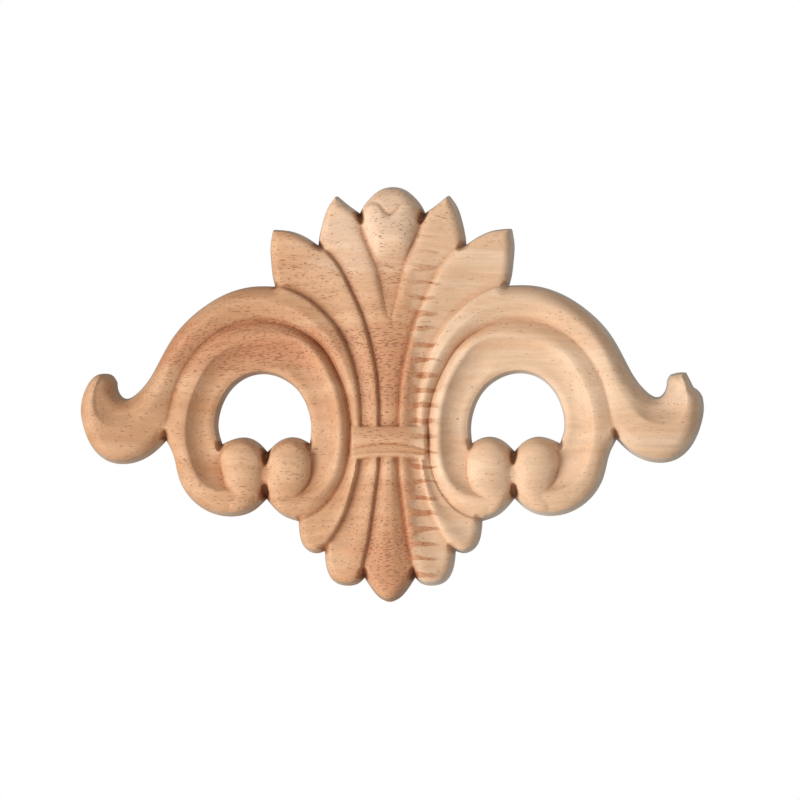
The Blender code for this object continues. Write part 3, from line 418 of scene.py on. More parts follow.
def swept_round(x, z, path):
    """Share of the way out from a path of varying half width, and the path's other values nearest by."""
    share = np.full(len(x), np.inf)
    nearest = np.zeros(len(x), int)
    for number, (cx, cz, half) in enumerate(path[:, :3]):
        here = np.hypot(x - cx, z - cz) / half
        nearest = np.where(here < share, number, nearest)
        share = np.minimum(share, here)
    return share, *path[nearest, 3:].T


def section(shape, share):
    """Height of a cross section at a share of the way across it."""
    return spline(shape[0], shape[1], share)


def bud_height(x, z, across):
    """The bud: a dome with a folded lip, on a tapering stem.

    Across the bud the dome is 1 - side * across^3, where across goes from 0 at the axis to 1 at the bud's
    cut. Above the centre ((z - centre) / reach)^2 is taken off, and below it the dome fades by a power of
    1 - ((z - centre) / reach)^2. The lip's cut has a bell-shaped section, and the wood above it lies a
    little lower."""
    body = 1.0 - BUD_SIDE * across**3
    upper = np.clip(body - (np.maximum(z - BUD_CENTRE, 0.0) / BUD_REACH_UP)**2, 0.0, 1.0)**BUD_ROUNDNESS
    fall = np.clip((BUD_CENTRE - z) / BUD_REACH_DOWN, 0.0, 1.0)
    dome = upper * (1.0 - fall**2)**BUD_FADE
    stem = between(BUD_STEM, STEM_CREST, swell(BUD_TIP - z, BUD_TIP_BLEND))
    off_lip = measure_cut(x, z, LIP_CUT)
    lip = -LIP_DROP * swell(off_lip, LIP_WIDTH) - LIP_DEPTH * np.exp(-(off_lip / LIP_GROOVE)**2)
    lip = lip * swell(LIP_END - x, LIP_FADE) * (z > BUD_CENTRE)
    return between(stem, BUD_TOP, dome) + lip


def groove_height(x):
    """How high the groove round the ring lies: low beside the strap, high beside the hook."""
    return between(GROOVE_INSIDE, GROOVE_OUTSIDE, swell(x - GROOVE_RISE, GROOVE_RISE_WIDTH))


def band_height(x, z, groove, scroll_cut, edge):
    """The scroll's band: a crest along it, falling to the groove, to the leaf and to the outer edge.

    The foot blends the three edges' heights by the inverse squares of their distances. The share of the way
    from the crest to the nearest edges gives a parabola, and inside the hook a hollow that is a power of the
    share left. The roll along the outline is a power too."""
    off_crest = measure_cut(x, z, BAND_CREST_LINE)
    off = np.abs(off_crest) + TINY
    to_groove, to_leaf, to_edge = (np.abs(d) + LEAST_GAP for d in (groove, scroll_cut, edge))
    at_edge = BAND_AT_EDGE - FLANK_DROP * swell(x - FLANK_START, FLANK_BLEND) * (off_crest > 0.0)
    narrow = np.clip(1.0 - (to_groove + np.minimum(to_leaf, to_edge)) / (2.0 * BAND_FULL_WIDTH), 0.0, 1.0)
    at_leaf = BAND_AT_LEAF - SIDE_NARROWING * narrow
    limits = [(to_groove, groove_height(x)), (to_leaf, at_leaf), (to_edge, at_edge)]
    near = 1.0 / sum(1.0 / d for d, _ in limits)
    foot = sum(h / d**2 for d, h in limits) / sum(1.0 / d**2 for d, _ in limits)
    crest = BAND_CREST - BAND_NARROWING * narrow
    share = off / (off + near)
    rounded = 1.0 - share**2
    scooped = (1.0 - share)**SCOOP_POWER
    hook = swell(x - HOOK_START, HOOK_BLEND) * swell(off_crest, SCOOP_BLEND)
    into_band = np.clip((np.abs(edge) - WALL_FLARE) / BAND_ROLL_WIDTH, 0.0, 1.0)
    roll = BAND_ROLL * (1.0 - into_band)**ROLL_POWER
    return between(foot, crest, between(rounded, scooped, hook)) - roll


def ring_height(x, z, groove, edge, hole):
    """The ring: a ridge inside the groove, a cove down to the hole, two balls and the saddle between them.

    The ridge is a section from the groove or the outline to the channel's edge, on a foot that blends the
    two by the inverse squares of their distances. The cove is a section from there to the hole. Each ball is
    (1 - share^2)^roundness across the path it swells along. The saddle is a paraboloid, joined by half of
    a + b + the root of (a - b)^2 + softness^2."""
    line = smooth_curve(CHANNEL_EDGE, MEASURE_SPACING)
    off_edge = np.abs(measure(x, z, line))
    by_groove = 1.0 / (groove + TINY)
    by_outline = 1.0 / (np.abs(edge) + TINY)
    outer = 1.0 / np.hypot(by_groove, by_outline)
    foot = between(RIDGE_AT_EDGE, groove_height(x), (by_groove * outer)**2)
    ridge = between(foot, RIDGE_CREST, section(RIDGE_SECTION, outer / (outer + off_edge + TINY)))
    width = np.minimum(off_edge + np.abs(hole), CHANNEL_WIDTH)
    channel = section(CHANNEL_SECTION, np.minimum(off_edge / (width + TINY), 1.0))
    height = np.where(inside(x, z, line), channel, ridge)
    for swelling in (OUTER_SWELLING, INNER_SWELLING):
        share, crest, roundness, base = swept_round(x, z, smooth_curve(swelling, SWELLING_SPACING))
        ball = between(base, crest, np.clip(1.0 - share**2, 0.0, 1.0)**roundness)
        height = np.where(share < 1.0, np.maximum(ball, height), height)
    saddle = SADDLE[2] - ((x - SADDLE[0]) / SADDLE_REACH[0])**2 - ((z - SADDLE[1]) / SADDLE_REACH[1])**2
    return (height + saddle + np.hypot(height - saddle, SADDLE_SOFTNESS)) / 2.0


def strap_share(x, z):
    """1 on the strap and 0 off it, with a soft step round it."""
    foot = STRAP_FOOT[0] - STRAP_FOOT[1] * (x / STRAP_ARCH_AT)**2
    along = swell(STRAP_TOP - z, STRAP_EDGE) * swell(z - foot, STRAP_EDGE)
    return along * swell(STRAP_HALF_WIDTH - x, STRAP_END)


def strap_height(x, z):
    """The strap: a wide fillet, a bead and a narrow fillet, parted by two grooves that arch up.

    Each is a half sine wave across, with its crest drawn down by a power of the share, on a base that falls
    as the square of the distance from the axis."""
    off = (x / STRAP_ARCH_AT)**2
    lines = (UPPER_STRAP_GROOVE, LOWER_STRAP_GROOVE, STRAP_FOOT)
    upper, lower, foot = (middle - drop * off for middle, drop in lines)
    top = np.full(len(x), STRAP_TOP)
    height = STRAP_BASE - STRAP_FALL * off
    fillets = ((upper, top, WIDE_FILLET), (lower, upper, BEAD), (foot, lower, NARROW_FILLET))
    for low, high, (rise, power) in fillets:
        share = np.clip((z - low) / (high - low), 0.0, 1.0)**power
        height = height + rise * np.maximum(np.sin(math.pi * share), 0.0)**STRAP_ROUNDNESS
    return height


def nick_depth(x, z):
    """How deep the cutter's nicks go: half of a cone on an ellipse, with its middle at each notch."""
    depth = np.zeros(len(x))
    for notch_x, notch_z, end_x, end_z, half_width, deep in NICKS:
        reach = math.hypot(end_x - notch_x, end_z - notch_z)
        along_x, along_z = (end_x - notch_x) / reach, (end_z - notch_z) / reach
        along = (x - notch_x) * along_x + (z - notch_z) * along_z
        across = (x - notch_x) * along_z - (z - notch_z) * along_x
        depth = np.maximum(depth, deep * (1.0 - np.hypot(along / reach, across / half_width)))
    return depth


def carving(right, z, loops):
    """Height of the carved face above the back on the right half, before its edge is rolled.

    The distance to the edge is taken from the left half, mirrored, because the chip at the right hook's tip
    cuts through the carving and doesn't shape it."""
    unchipped = outer_loop(MEASURE_SPACING) * (-1.0, 1.0)
    edge = measure(right, z, unchipped, closed=True)
    hole = measure(right, z, loops[1], closed=True)
    cuts = (BUD_CUT, LEAF_CUT, SCROLL_CUT, OUTER_LOBE_CUT, INNER_LOBE_CUT)
    bud_cut, leaf_cut, scroll_cut, outer_cut, inner_cut = (measure_cut(right, z, cut) for cut in cuts)
    ring_loop = smooth_curve(GROOVE, MEASURE_SPACING)
    groove = measure(right, z, ring_loop, closed=True)
    groove = np.where(inside(right, z, ring_loop), np.abs(groove), -np.abs(groove))

    inner_leaf = section(INNER_LEAF_SECTION, share_across(bud_cut, leaf_cut))
    stem = between(STEM_SIDE, STEM_CREST, 1.0 - share_across(right, leaf_cut)**2)
    inner_leaf = between(inner_leaf, stem, swell(STEM_TOP - z, STEM_BLEND))
    outer_leaf = section(OUTER_LEAF_SECTION, share_across(leaf_cut, scroll_cut))
    band = band_height(right, z, groove, scroll_cut, edge)
    upper = bud_height(right, z, share_across(right, bud_cut))
    for cut, form in ((bud_cut, inner_leaf), (leaf_cut, outer_leaf), (scroll_cut, band)):
        upper = between(upper, form, swell(cut, STEP_WIDTH))

    inner_lobe = section(INNER_LOBE_SECTION, share_across(outer_cut, inner_cut))
    outer_lobe = section(OUTER_LOBE_SECTION, share_across(groove, outer_cut))
    lower = section(MIDDLE_LOBE_SECTION, share_across(inner_cut, right))
    for cut, form in ((inner_cut, inner_lobe), (outer_cut, outer_lobe)):
        lower = between(lower, form, swell(cut, STEP_WIDTH))

    height = np.where((z < 0.0) & (right < LOBES_REACH), lower, upper)
    ring = ring_height(right, z, np.maximum(groove, 0.0), edge, hole)
    height = between(height, ring, swell(groove, GROOVE_STEP))
    height = between(height, strap_height(right, z), strap_share(right, z))
    return height - nick_depth(right, z)


# The fine surface

def finished_height(carved, depth, x, z):
    """The carved height with its edge rolled down and the cutter's slight wander.

    The roll is a parabola that ends at its width. The wander is the mean of three slow sine waves that cross
    each other."""
    into_face = np.clip(depth / EDGE_ROLL_WIDTH, 0.0, 1.0)
    waves = sum(np.sin(by_x * x + by_z * z + phase) for by_x, by_z, phase in WANDER_WAVES)
    return carved - EDGE_ROLL * (1.0 - into_face)**2 + WANDER * waves / len(WANDER_WAVES)


def carved_grid(loops):
    """The carved face on an even grid: places x and z, depth in from its edge, and height above the back."""
    half = math.ceil(GRID_HALF_WIDTH / GRID_SPACING)
    columns = np.arange(-half, half + 1) * GRID_SPACING
    rows = np.arange(GRID_BOTTOM, GRID_TOP, GRID_SPACING)
    x, z = np.meshgrid(columns, rows)
    depth = depth_in_face(x.ravel(), z.ravel(), loops).reshape(x.shape)
    wood = (depth > 0.0) | (depth[:, ::-1] > 0.0)
    right = wood[:, half:]
    carved = np.zeros(right.shape)
    carved[right] = carving(x[:, half:][right], z[:, half:][right], loops)
    height = np.concatenate([carved[:, :0:-1], carved], axis=1)
    return x, z, depth, finished_height(height, depth, x, z)


def blurred(values, weight, reach):
    """The values spread over their neighbours by a bell curve, counting only those with weight."""
    steps = np.arange(-3 * reach, 3 * reach + 1)
    bell = np.exp(-0.5 * (steps / reach)**2)

    def spread(field):
        for axis in (0, 1):
            field = sum(b * np.roll(field, s, axis=axis) for b, s in zip(bell, steps))
        return field

    return spread(values * weight) / np.maximum(spread(weight), TINY)


def read_grid(field, places, rounding):
    """A grid field read at each place: at its nearest grid point, or in its cell where places round down."""
    column = rounding(places[:, 0] / GRID_SPACING).astype(int) + field.shape[1] // 2
    row = rounding((places[:, 1] - GRID_BOTTOM) / GRID_SPACING).astype(int)
    return field[np.clip(row, 0, field.shape[0] - 1), np.clip(column, 0, field.shape[1] - 1)]


def unit(vectors):
    """The vectors at length 1."""
    return vectors / np.linalg.norm(vectors, axis=1)[:, None]


def wall_pairs(loop, flare, loops):
    """Points of an outline on the back, each with its point on the edge of the carved face.

    Each point moves in along the outline's normal by the wall's flare. At an inward corner the point is
    repeated in a fan of normals, and points that would cross gather at the nearest clear one."""
    before = unit(loop - np.roll(loop, 1, axis=0))
    after = np.roll(before, -1, axis=0)
    cross = before[:, 0] * after[:, 1] - before[:, 1] * after[:, 0]
    turn = np.arctan2(cross, (before * after).sum(axis=1))
    copies = np.where(turn > CORNER_TURN, np.ceil(turn / FAN_STEP).astype(int) + 1, 1)
    which = np.repeat(np.arange(len(loop)), copies)
    place = np.arange(len(which)) - np.repeat(np.cumsum(copies) - copies, copies)
    share = np.where(copies[which] > 1, place / np.maximum(copies[which] - 1, 1), 0.5)
    first = np.stack([before[:, 1], -before[:, 0]], axis=1)[which]
    last = np.stack([after[:, 1], -after[:, 0]], axis=1)[which]
    normal = unit(first * (1.0 - share[:, None]) + last * share[:, None])
    stretch = np.where(copies[which] > 1, 1.0, 1.0 / np.maximum((normal * first).sum(axis=1), MITRE_LIMIT))
    back = loop[which]
    face = back + normal * (flare * stretch)[:, None]
    good = np.flatnonzero(depth_in_face(*face.T, loops) > -EDGE_SLACK)
    steps = np.abs(np.arange(len(face))[:, None] - good[None, :])
    nearest = good[np.minimum(steps, len(face) - steps).argmin(axis=1)]
    return back, face[nearest]


def ring_edges(loops):
    """Index pairs that close each of several loops laid end to end."""
    pairs = []
    first = 0
    for loop in loops:
        here = first + np.arange(len(loop))
        pairs.append(np.stack([here, np.roll(here, -1)], axis=1))
        first += len(loop)
    return np.concatenate(pairs)


def triangulate(points, edges, loops):
    """Triangles over the points that keep the fixed edges and lie inside the loops.

    Returns their corners' places, the triangles, and the number of the place that each point became."""
    flat = [Vector(p) for p in points.tolist()]
    places, _, faces, origins, _, _ = delaunay_2d_cdt(flat, edges.tolist(), [], 0, TINY)
    places = np.array([tuple(p) for p in places])
    triangles = np.array(faces)
    wood = in_wood(*places[triangles].mean(axis=1).T, loops)
    index = np.zeros(len(points), int)
    counts = [len(o) for o in origins]
    index[np.concatenate([np.array(o, int) for o in origins])] = np.repeat(np.arange(len(origins)), counts)
    return places, triangles[wood], index


def squares(a, b, c, d):
    """Two triangles for each square, from the numbers of its four corners in order."""
    return np.concatenate([np.stack([a, b, c], axis=1), np.stack([a, c, d], axis=1)])


def face_cells(kept):
    """Two triangles for each kept cell of the grid, as grid point numbers."""
    width = kept.shape[1] + 1
    row, column = np.nonzero(kept)
    corner = row * width + column
    return squares(corner, corner + 1, corner + width + 1, corner + width)


def cell_border(kept):
    """The grid edges between a kept cell and one that isn't, as grid point numbers."""
    width = kept.shape[1] + 1
    row, column = np.nonzero(kept[1:, :] != kept[:-1, :])
    flat = (row + 1) * width + column
    row, column = np.nonzero(kept[:, 1:] != kept[:, :-1])
    upright = row * width + column + 1
    return np.stack([np.concatenate([flat, upright]), np.concatenate([flat + 1, upright + width])], axis=1)


def wall_triangles(rows, around):
    """Two triangles for each outline edge between each row of the sawn edge's points and the next."""
    start, end = around.T
    return np.concatenate([squares(upper[start], upper[end], lower[end], lower[start])
                           for upper, lower in zip(rows[:-1], rows[1:])])


def applique_surface():
    """Vertices, triangles, how hollow the carving is at each vertex, and the finish of each triangle.

    The face is the height formula on an even grid, joined to the outline's edge by a narrow strip. The wall
    is a leaning profile carried along the outline. The back is flat. The finishes are numbered 0 for the
    face, 1 for the wall and 2 for the back."""
    loops = outline_loops(RIM_SPACING)
    coarse = outline_loops(MEASURE_SPACING)
    x, z, depth, height = carved_grid(coarse)
    wood = (depth > 0.0).astype(float)
    nicks = nick_depth(np.abs(x).ravel(), z.ravel()).reshape(x.shape)
    # The hollowness sets the painted shade in the creases and nicks and the painted highlight on the crests
    hollow = (blurred(height, wood, CURVE_REACH) - height) * swell(depth - HOLLOW_START, HOLLOW_FADE)
    # the nicks add their painted shade to the hollowness
    hollow += NICK_SHADE * nicks

    solid = depth > RIM_STRIP
    kept = solid[:-1, :-1] & solid[1:, :-1] & solid[:-1, 1:] & solid[1:, 1:]
    cells = face_cells(kept)
    border = cell_border(kept)

    back_loops, rim_loops = zip(*[wall_pairs(loop, flare, loops) for loop, flare in zip(loops, FLARES)])
    rim = np.concatenate(rim_loops)
    border_points, border_index = np.unique(border, return_inverse=True)
    border_index = border_index.reshape(border.shape)
    border_places = np.stack([x.ravel()[border_points], z.ravel()[border_points]], axis=1)
    strip_edges = np.concatenate([ring_edges(rim_loops), border_index + len(rim)])
    strip_points = np.concatenate([rim, border_places])
    strip_places, strip, strip_index = triangulate(strip_points, strip_edges, rim_loops)
    strip = strip[~read_grid(kept, strip_places[strip].mean(axis=1), np.floor)]

    back = np.concatenate(back_loops)
    around = ring_edges(back_loops)
    back_places, back_triangles, back_index = triangulate(back, around, back_loops)

    parts = VertexStore()
    grid_at = parts.add(x.ravel(), z.ravel(), height.ravel(), hollow.ravel())
    strip_x, strip_z = strip_places.T
    strip_height = carving(np.abs(strip_x), strip_z, coarse)
    strip_depth = depth_in_face(strip_x, strip_z, coarse)
    strip_height = finished_height(strip_height, strip_depth, strip_x, strip_z)
    strip_at = parts.add(strip_x, strip_z, strip_height, read_grid(hollow, strip_places, np.rint))
    to_grid = np.arange(len(strip_places)) + strip_at
    to_grid[strip_index[len(rim):]] = border_points + grid_at
    top_index = strip_index[:len(rim)]

    # painted shade on the sawn edge inside the nicks
    rim_painted_shade = NICK_SHADE * nick_depth(np.abs(rim[:, 0]), rim[:, 1])
    wall_rows = [strip_at + top_index]
    for down, out in WALL_PROFILE:
        place = between(rim, back, out)
        at = parts.add(*place.T, strip_height[top_index] * (1.0 - down), rim_painted_shade)
        wall_rows.append(at + np.arange(len(rim)))
    flat = np.zeros(len(back_places))
    back_at = parts.add(*back_places.T, flat, flat)
    wall_rows.append(back_at + back_index)

    faces = (np.concatenate([cells + grid_at, to_grid[strip]]), wall_triangles(wall_rows, around),
             back_triangles[:, ::-1] + back_at)
    triangles = np.concatenate(faces)
    finish = np.repeat(np.arange(len(faces)), [len(part) for part in faces])
    whole = (triangles != np.roll(triangles, 1, axis=1)).all(axis=1)
    return parts.used(triangles[whole], finish[whole])


class VertexStore:
    """Vertices gathered part by part: places x and z, height above the back, and hollowness."""

    def __init__(self):
        self.rows = []
        self.count = 0

    def add(self, x, z, height, hollow):
        """Adds vertices and returns the number of the first."""
        first = self.count
        self.rows.append(np.stack([x, z, height, hollow], axis=1))
        self.count += len(x)
        return first

    def used(self, triangles, finish):
        """The vertices that the triangles use, in metres and leaning, with the triangles renumbered."""
        rows = np.concatenate(self.rows)
        numbers, triangles = np.unique(triangles, return_inverse=True)
        x, z, height, hollow = rows[numbers].T
        places = np.stack([x + LEAN * z, -height, z], axis=1) * MM
        return places, triangles.reshape(-1, 3), hollow, finish


def new_object(name, data):
    """A mesh, a lamp or a camera as an object of the scene."""
    thing = bpy.data.objects.new(name, data)
    bpy.context.collection.objects.link(thing)
    return thing


def carved_piece(material_list):
    """The applique as one closed mesh, with its hollowness kept for the finishes."""
    vertices, triangles, hollow, finish = applique_surface()
    mesh = bpy.data.meshes.new("carved_applique")
    mesh.from_pydata(vertices.tolist(), [], triangles.tolist())
    for material in material_list:
        mesh.materials.append(material)
    mesh.polygons.foreach_set("material_index", finish.astype(np.int32))
    mesh.shade_smooth()
    mesh.set_sharp_from_angle(angle=math.radians(SHARP_ANGLE))
    attribute = mesh.attributes.new("hollow", "FLOAT", "POINT")
    attribute.data.foreach_set("value", hollow.astype(np.float32))
    return new_object("carved_applique", mesh)


# The wood

# The finger joint, in millimetres, and how dark it is
JOINT_PITCH = 3.678         # from one tooth to the next
JOINT_PHASE = 31.6
TOOTH_BASE = 5.8            # the teeth reach from this far right of the middle
TOOTH_TIP = 11.2            # to this far
TOOTH_BASE_HALF = 0.8       # half the width of a gap at the base, and of a tooth at its tip
TOOTH_TIP_HALF = 0.3
TOOTH_ROOT = (5.8, 8.3)     # a tooth darkens between these distances from the middle
TOOTH_PRESENCE = (0.25, 0.6)    # and between these values of the slow noise, so some teeth stay faint
TOOTH_DARKNESS = 0.6
TOOTH_JITTER = 2.0          # a tooth lies up to half of this from its even place
JOINT_BLUR = 1.3
JOINT_WAVER = 3.6           # the slow noise moves the joint by this much, and the fine one by the fray
JOINT_FRAY = 2.6
SEAM_WIDTH = 0.9
SEAM_DARKNESS = 0.07
NEAR_JOINT = (6.0, 13.0)    # the right board is browner up to this distance from the middle
BOARD_SHIFT = (310.0, 23.0, 71.0)   # the right board's grain is read this far off, so it differs

# Stretches of the noises in x, y and z, in lumps a millimetre
JOINT_WAVES = (0.2, 0.2, 0.4)
JOINT_SPLINTERS = (1.1, 1.1, 2.4)
GRAIN_BENDS = (0.02, 0.05, 0.05)
BROAD_GRAIN = (0.012, 0.16, 0.16)
MIDDLE_GRAIN = (0.035, 0.75, 0.75)
FINE_GRAIN = (0.11, 3.2, 3.2)
FIBRES = (0.9, 4.0, 4.0)
ZONE_RAGS = (0.05, 0.35, 0.35)
PORE_DASHES = (0.85, 3.9, 3.9)
PORE_PATCHES = (0.05, 0.22, 0.22)

# How strongly they count
BEND = (0.0, 0.0, 9.0)      # the grain bends by this many millimetres
MIDDLE_TONE = 0.36
FINE_TONE = 0.24
FIBRE_TONE = 0.2
FINE_ROUGHNESS = 0.6        # of the two finest noises
FIBRE_RELIEF = 0.6          # their relief beside that of a pore

# The pores: the dashes above a threshold, which is lower in patches and red zones and higher on the right
PORE_RISE = (0.685, 0.81)
PATCH_RISE = (0.42, 0.66)
PATCH_OPENNESS = 0.08
RED_OPENNESS = 0.1
RIGHT_OPENNESS = -0.08
PORE_COLOUR = (0.26, 0.10, 0.05, 1.0)
PORE_SHARE = 0.6

# Linear colours of the two boards, and zones that are redder or paler: centre x and z, reach in x and z
LEFT_PALE = (0.70, 0.412, 0.234, 1.0)
LEFT_TAN = (0.585, 0.299, 0.151, 1.0)
LEFT_PALEST = (0.78, 0.53, 0.355, 1.0)
LEFT_RED = (0.60, 0.285, 0.145, 1.0)
LEFT_TAN_RISE = (0.3, 0.7)
BESIDE_JOINT = (0.75, 0.475, 0.295, 1.0)
RIGHT_PALE = (0.79, 0.54, 0.355, 1.0)
RIGHT_TAN = (0.73, 0.46, 0.28, 1.0)
RIGHT_TAN_RISE = (0.35, 0.65)
RED_ZONES = ((1.0, 18.5, 8.0, 13.0), (-33.0, 23.0, 24.0, 7.0), (1.0, -29.0, 8.0, 13.0),
             (6.0, -22.0, 5.0, 14.0), (-51.0, 23.0, 11.0, 7.0))
PALE_ZONES = ((-6.0, 52.0, 16.0, 12.0), (4.0, 56.0, 12.0, 10.0))
ZONE_RAGGEDNESS = 1.6
ZONE_RIM = (2.35, 1.1)      # a zone fades in between these distances, in reaches, with the noise added
ENDS = (50.0, 63.0)         # both ends of the board darken between these distances from the middle
ENDS_DARKNESS = 0.075

# Painted shade in creases and nicks, and a painted highlight on crests, by their hollowness in millimetres
CREASE_HOLLOW = (0.0, 0.36)
CREASE_PAINTED_SHADE = (0.60, 0.37, 0.26, 1.0)
PALE_CREASES = 0.6          # the share of that shade that the right board's creases lack
# painted shade in the nicks, where the hollowness is deep
NICK_HOLLOW = (0.55, 1.15)
NICK_PAINTED_SHADE = (0.56, 0.43, 0.34, 1.0)
# a painted highlight on the crests, where the hollowness is negative
CREST_HOLLOW = (-0.05, -0.5)
CREST_PAINTED_HIGHLIGHT = (1.05, 1.07, 1.1, 1.0)
SHARP_ANGLE = 38.0          # edges that turn by more degrees stay sharp

# The surface: depth of the grain in metres, and what pores and saw marks add
GRAIN_DEPTH = 0.00010
GRAIN_STRENGTH = 0.5
SAW_RELIEF = 2.0
PORE_ROUGHNESS = 0.2
SHEEN = 0.3

# The finishes: name, shade of the wood, roughness, share of the painted crease shade, stretch of the saw
# marks
FINISHES = (("carved_rubberwood", (1.0, 1.0, 1.0, 1.0), 0.58, 0.5, None),
            # the sawn edge's grey-blue tint is partly the sawn end grain's own colour and partly a painted
            # reflection of the white surroundings
            ("sawn_rubberwood", (0.88, 1.07, 1.33, 1.0), 0.75, 0.9, (2.2, 0.25, 2.2)),
            ("planed_rubberwood", (0.94, 0.93, 0.92, 1.0), 0.66, 0.0, (0.1, 1.0, 2.5)))


class Wiring:
    """Puts nodes into a node tree and joins them."""

    def __init__(self, tree):
        self.tree = tree

    def feed(self, socket, value):
        """Gives an input socket a value, or a link from an output socket."""
        if isinstance(value, bpy.types.NodeSocket):
            self.tree.links.new(value, socket)
        else:
            socket.default_value = value

    def put(self, kind, inputs, **settings):
        """A node of a kind with its settings, and with a value or a link on each named or numbered input."""
        node = self.tree.nodes.new(kind)
        for name, value in settings.items():
            setattr(node, name, value)
        for name, value in inputs.items():
            self.feed(node.inputs[name], value)
        return node

    def math(self, operation, *values):
        """The result of an operation on one, two or three values."""
        return self.put("ShaderNodeMath", dict(enumerate(values)), operation=operation).outputs[0]

    def vector(self, operation, *values):
        """The result of an operation on vectors, where a single value counts for all three directions."""
        return self.put("ShaderNodeVectorMath", dict(enumerate(values)), operation=operation).outputs[0]

    def in_millimetres(self, place):
        """A place in metres as one in millimetres."""
        return self.vector("MULTIPLY", place, (1.0 / MM, 1.0 / MM, 1.0 / MM))

    def rise(self, value, span):
        """A smooth rise from 0 at the span's first value to 1 at its last."""
        inputs = {"Value": value, "From Min": span[0], "From Max": span[1]}
        return self.put("ShaderNodeMapRange", inputs, interpolation_type="SMOOTHSTEP").outputs["Result"]

    def noise(self, place, stretch, detail=2.0, roughness=0.5):
        """Cloudy noise whose lumps are 1/stretch millimetres across in x, y and z."""
        scaled = self.vector("MULTIPLY", place, stretch)
        inputs = {"Vector": scaled, "Scale": 1.0, "Detail": detail, "Roughness": roughness}
        return self.put("ShaderNodeTexNoise", inputs).outputs["Fac"]

    def sway(self, cloud, amount, base):
        """The base value, with a noise's distance from its middle times an amount added."""
        return self.math("MULTIPLY_ADD", self.math("SUBTRACT", cloud, 0.5), amount, base)

    def zones(self, place, ragged, zones):
        """1 inside any of the ellipses and 0 outside, with ragged edges."""
        covered = 0.0
        for cx, cz, reach_x, reach_z in zones:
            off = self.vector("SUBTRACT", place, (cx, 0.0, cz))
            off = self.vector("MULTIPLY", off, (1.0 / reach_x, 0.0, 1.0 / reach_z))
            out = self.put("ShaderNodeVectorMath", {0: off}, operation="LENGTH").outputs["Value"]
            out = self.math("MULTIPLY_ADD", ragged, ZONE_RAGGEDNESS, out)
            covered = self.math("MAXIMUM", covered, self.rise(out, ZONE_RIM))
        return covered

    def mix(self, share, first, second, blend="MIX"):
        """Two colours mixed by a share."""
        inputs = {0: share, 6: first, 7: second}
        return self.put("ShaderNodeMix", inputs, data_type="RGBA", blend_type=blend).outputs[2]

    def shade(self, colour, shade):
        """A colour times a shade."""
        return self.mix(1.0, colour, shade, "MULTIPLY")


def board_joint(wires, place, x, z):
    """Masks of the finger joint: the right board, the seam, and the left board's teeth.

    The joint's place is a triangle wave of z with flattened tips, swayed by a slow noise and a fine one."""
    wavering = wires.noise(place, JOINT_WAVES, 1.0)
    along = wires.math("ADD", z, JOINT_PHASE - TOOTH_JITTER / 2.0)
    along = wires.math("MULTIPLY_ADD", wavering, TOOTH_JITTER, along)
    off_tooth = wires.math("PINGPONG", along, JOINT_PITCH / 2.0)
    slope = (TOOTH_BASE - TOOTH_TIP) / (TOOTH_BASE_HALF - TOOTH_TIP_HALF)
    joint = wires.math("MULTIPLY_ADD", off_tooth, slope, TOOTH_TIP - slope * TOOTH_TIP_HALF)
    joint = wires.math("MINIMUM", wires.math("MAXIMUM", joint, TOOTH_BASE), TOOTH_TIP)
    joint = wires.sway(wavering, JOINT_WAVER, joint)
    joint = wires.sway(wires.noise(place, JOINT_SPLINTERS), JOINT_FRAY, joint)
    beyond = wires.math("SUBTRACT", x, joint)
    right = wires.rise(beyond, (-JOINT_BLUR, JOINT_BLUR))
    seam = wires.math("SUBTRACT", 1.0, wires.rise(wires.math("ABSOLUTE", beyond), (0.0, SEAM_WIDTH)))
    tooth = wires.math("MULTIPLY", wires.rise(x, TOOTH_ROOT), wires.math("SUBTRACT", 1.0, right))
    return right, seam, wires.math("MULTIPLY", tooth, wires.rise(wavering, TOOTH_PRESENCE))


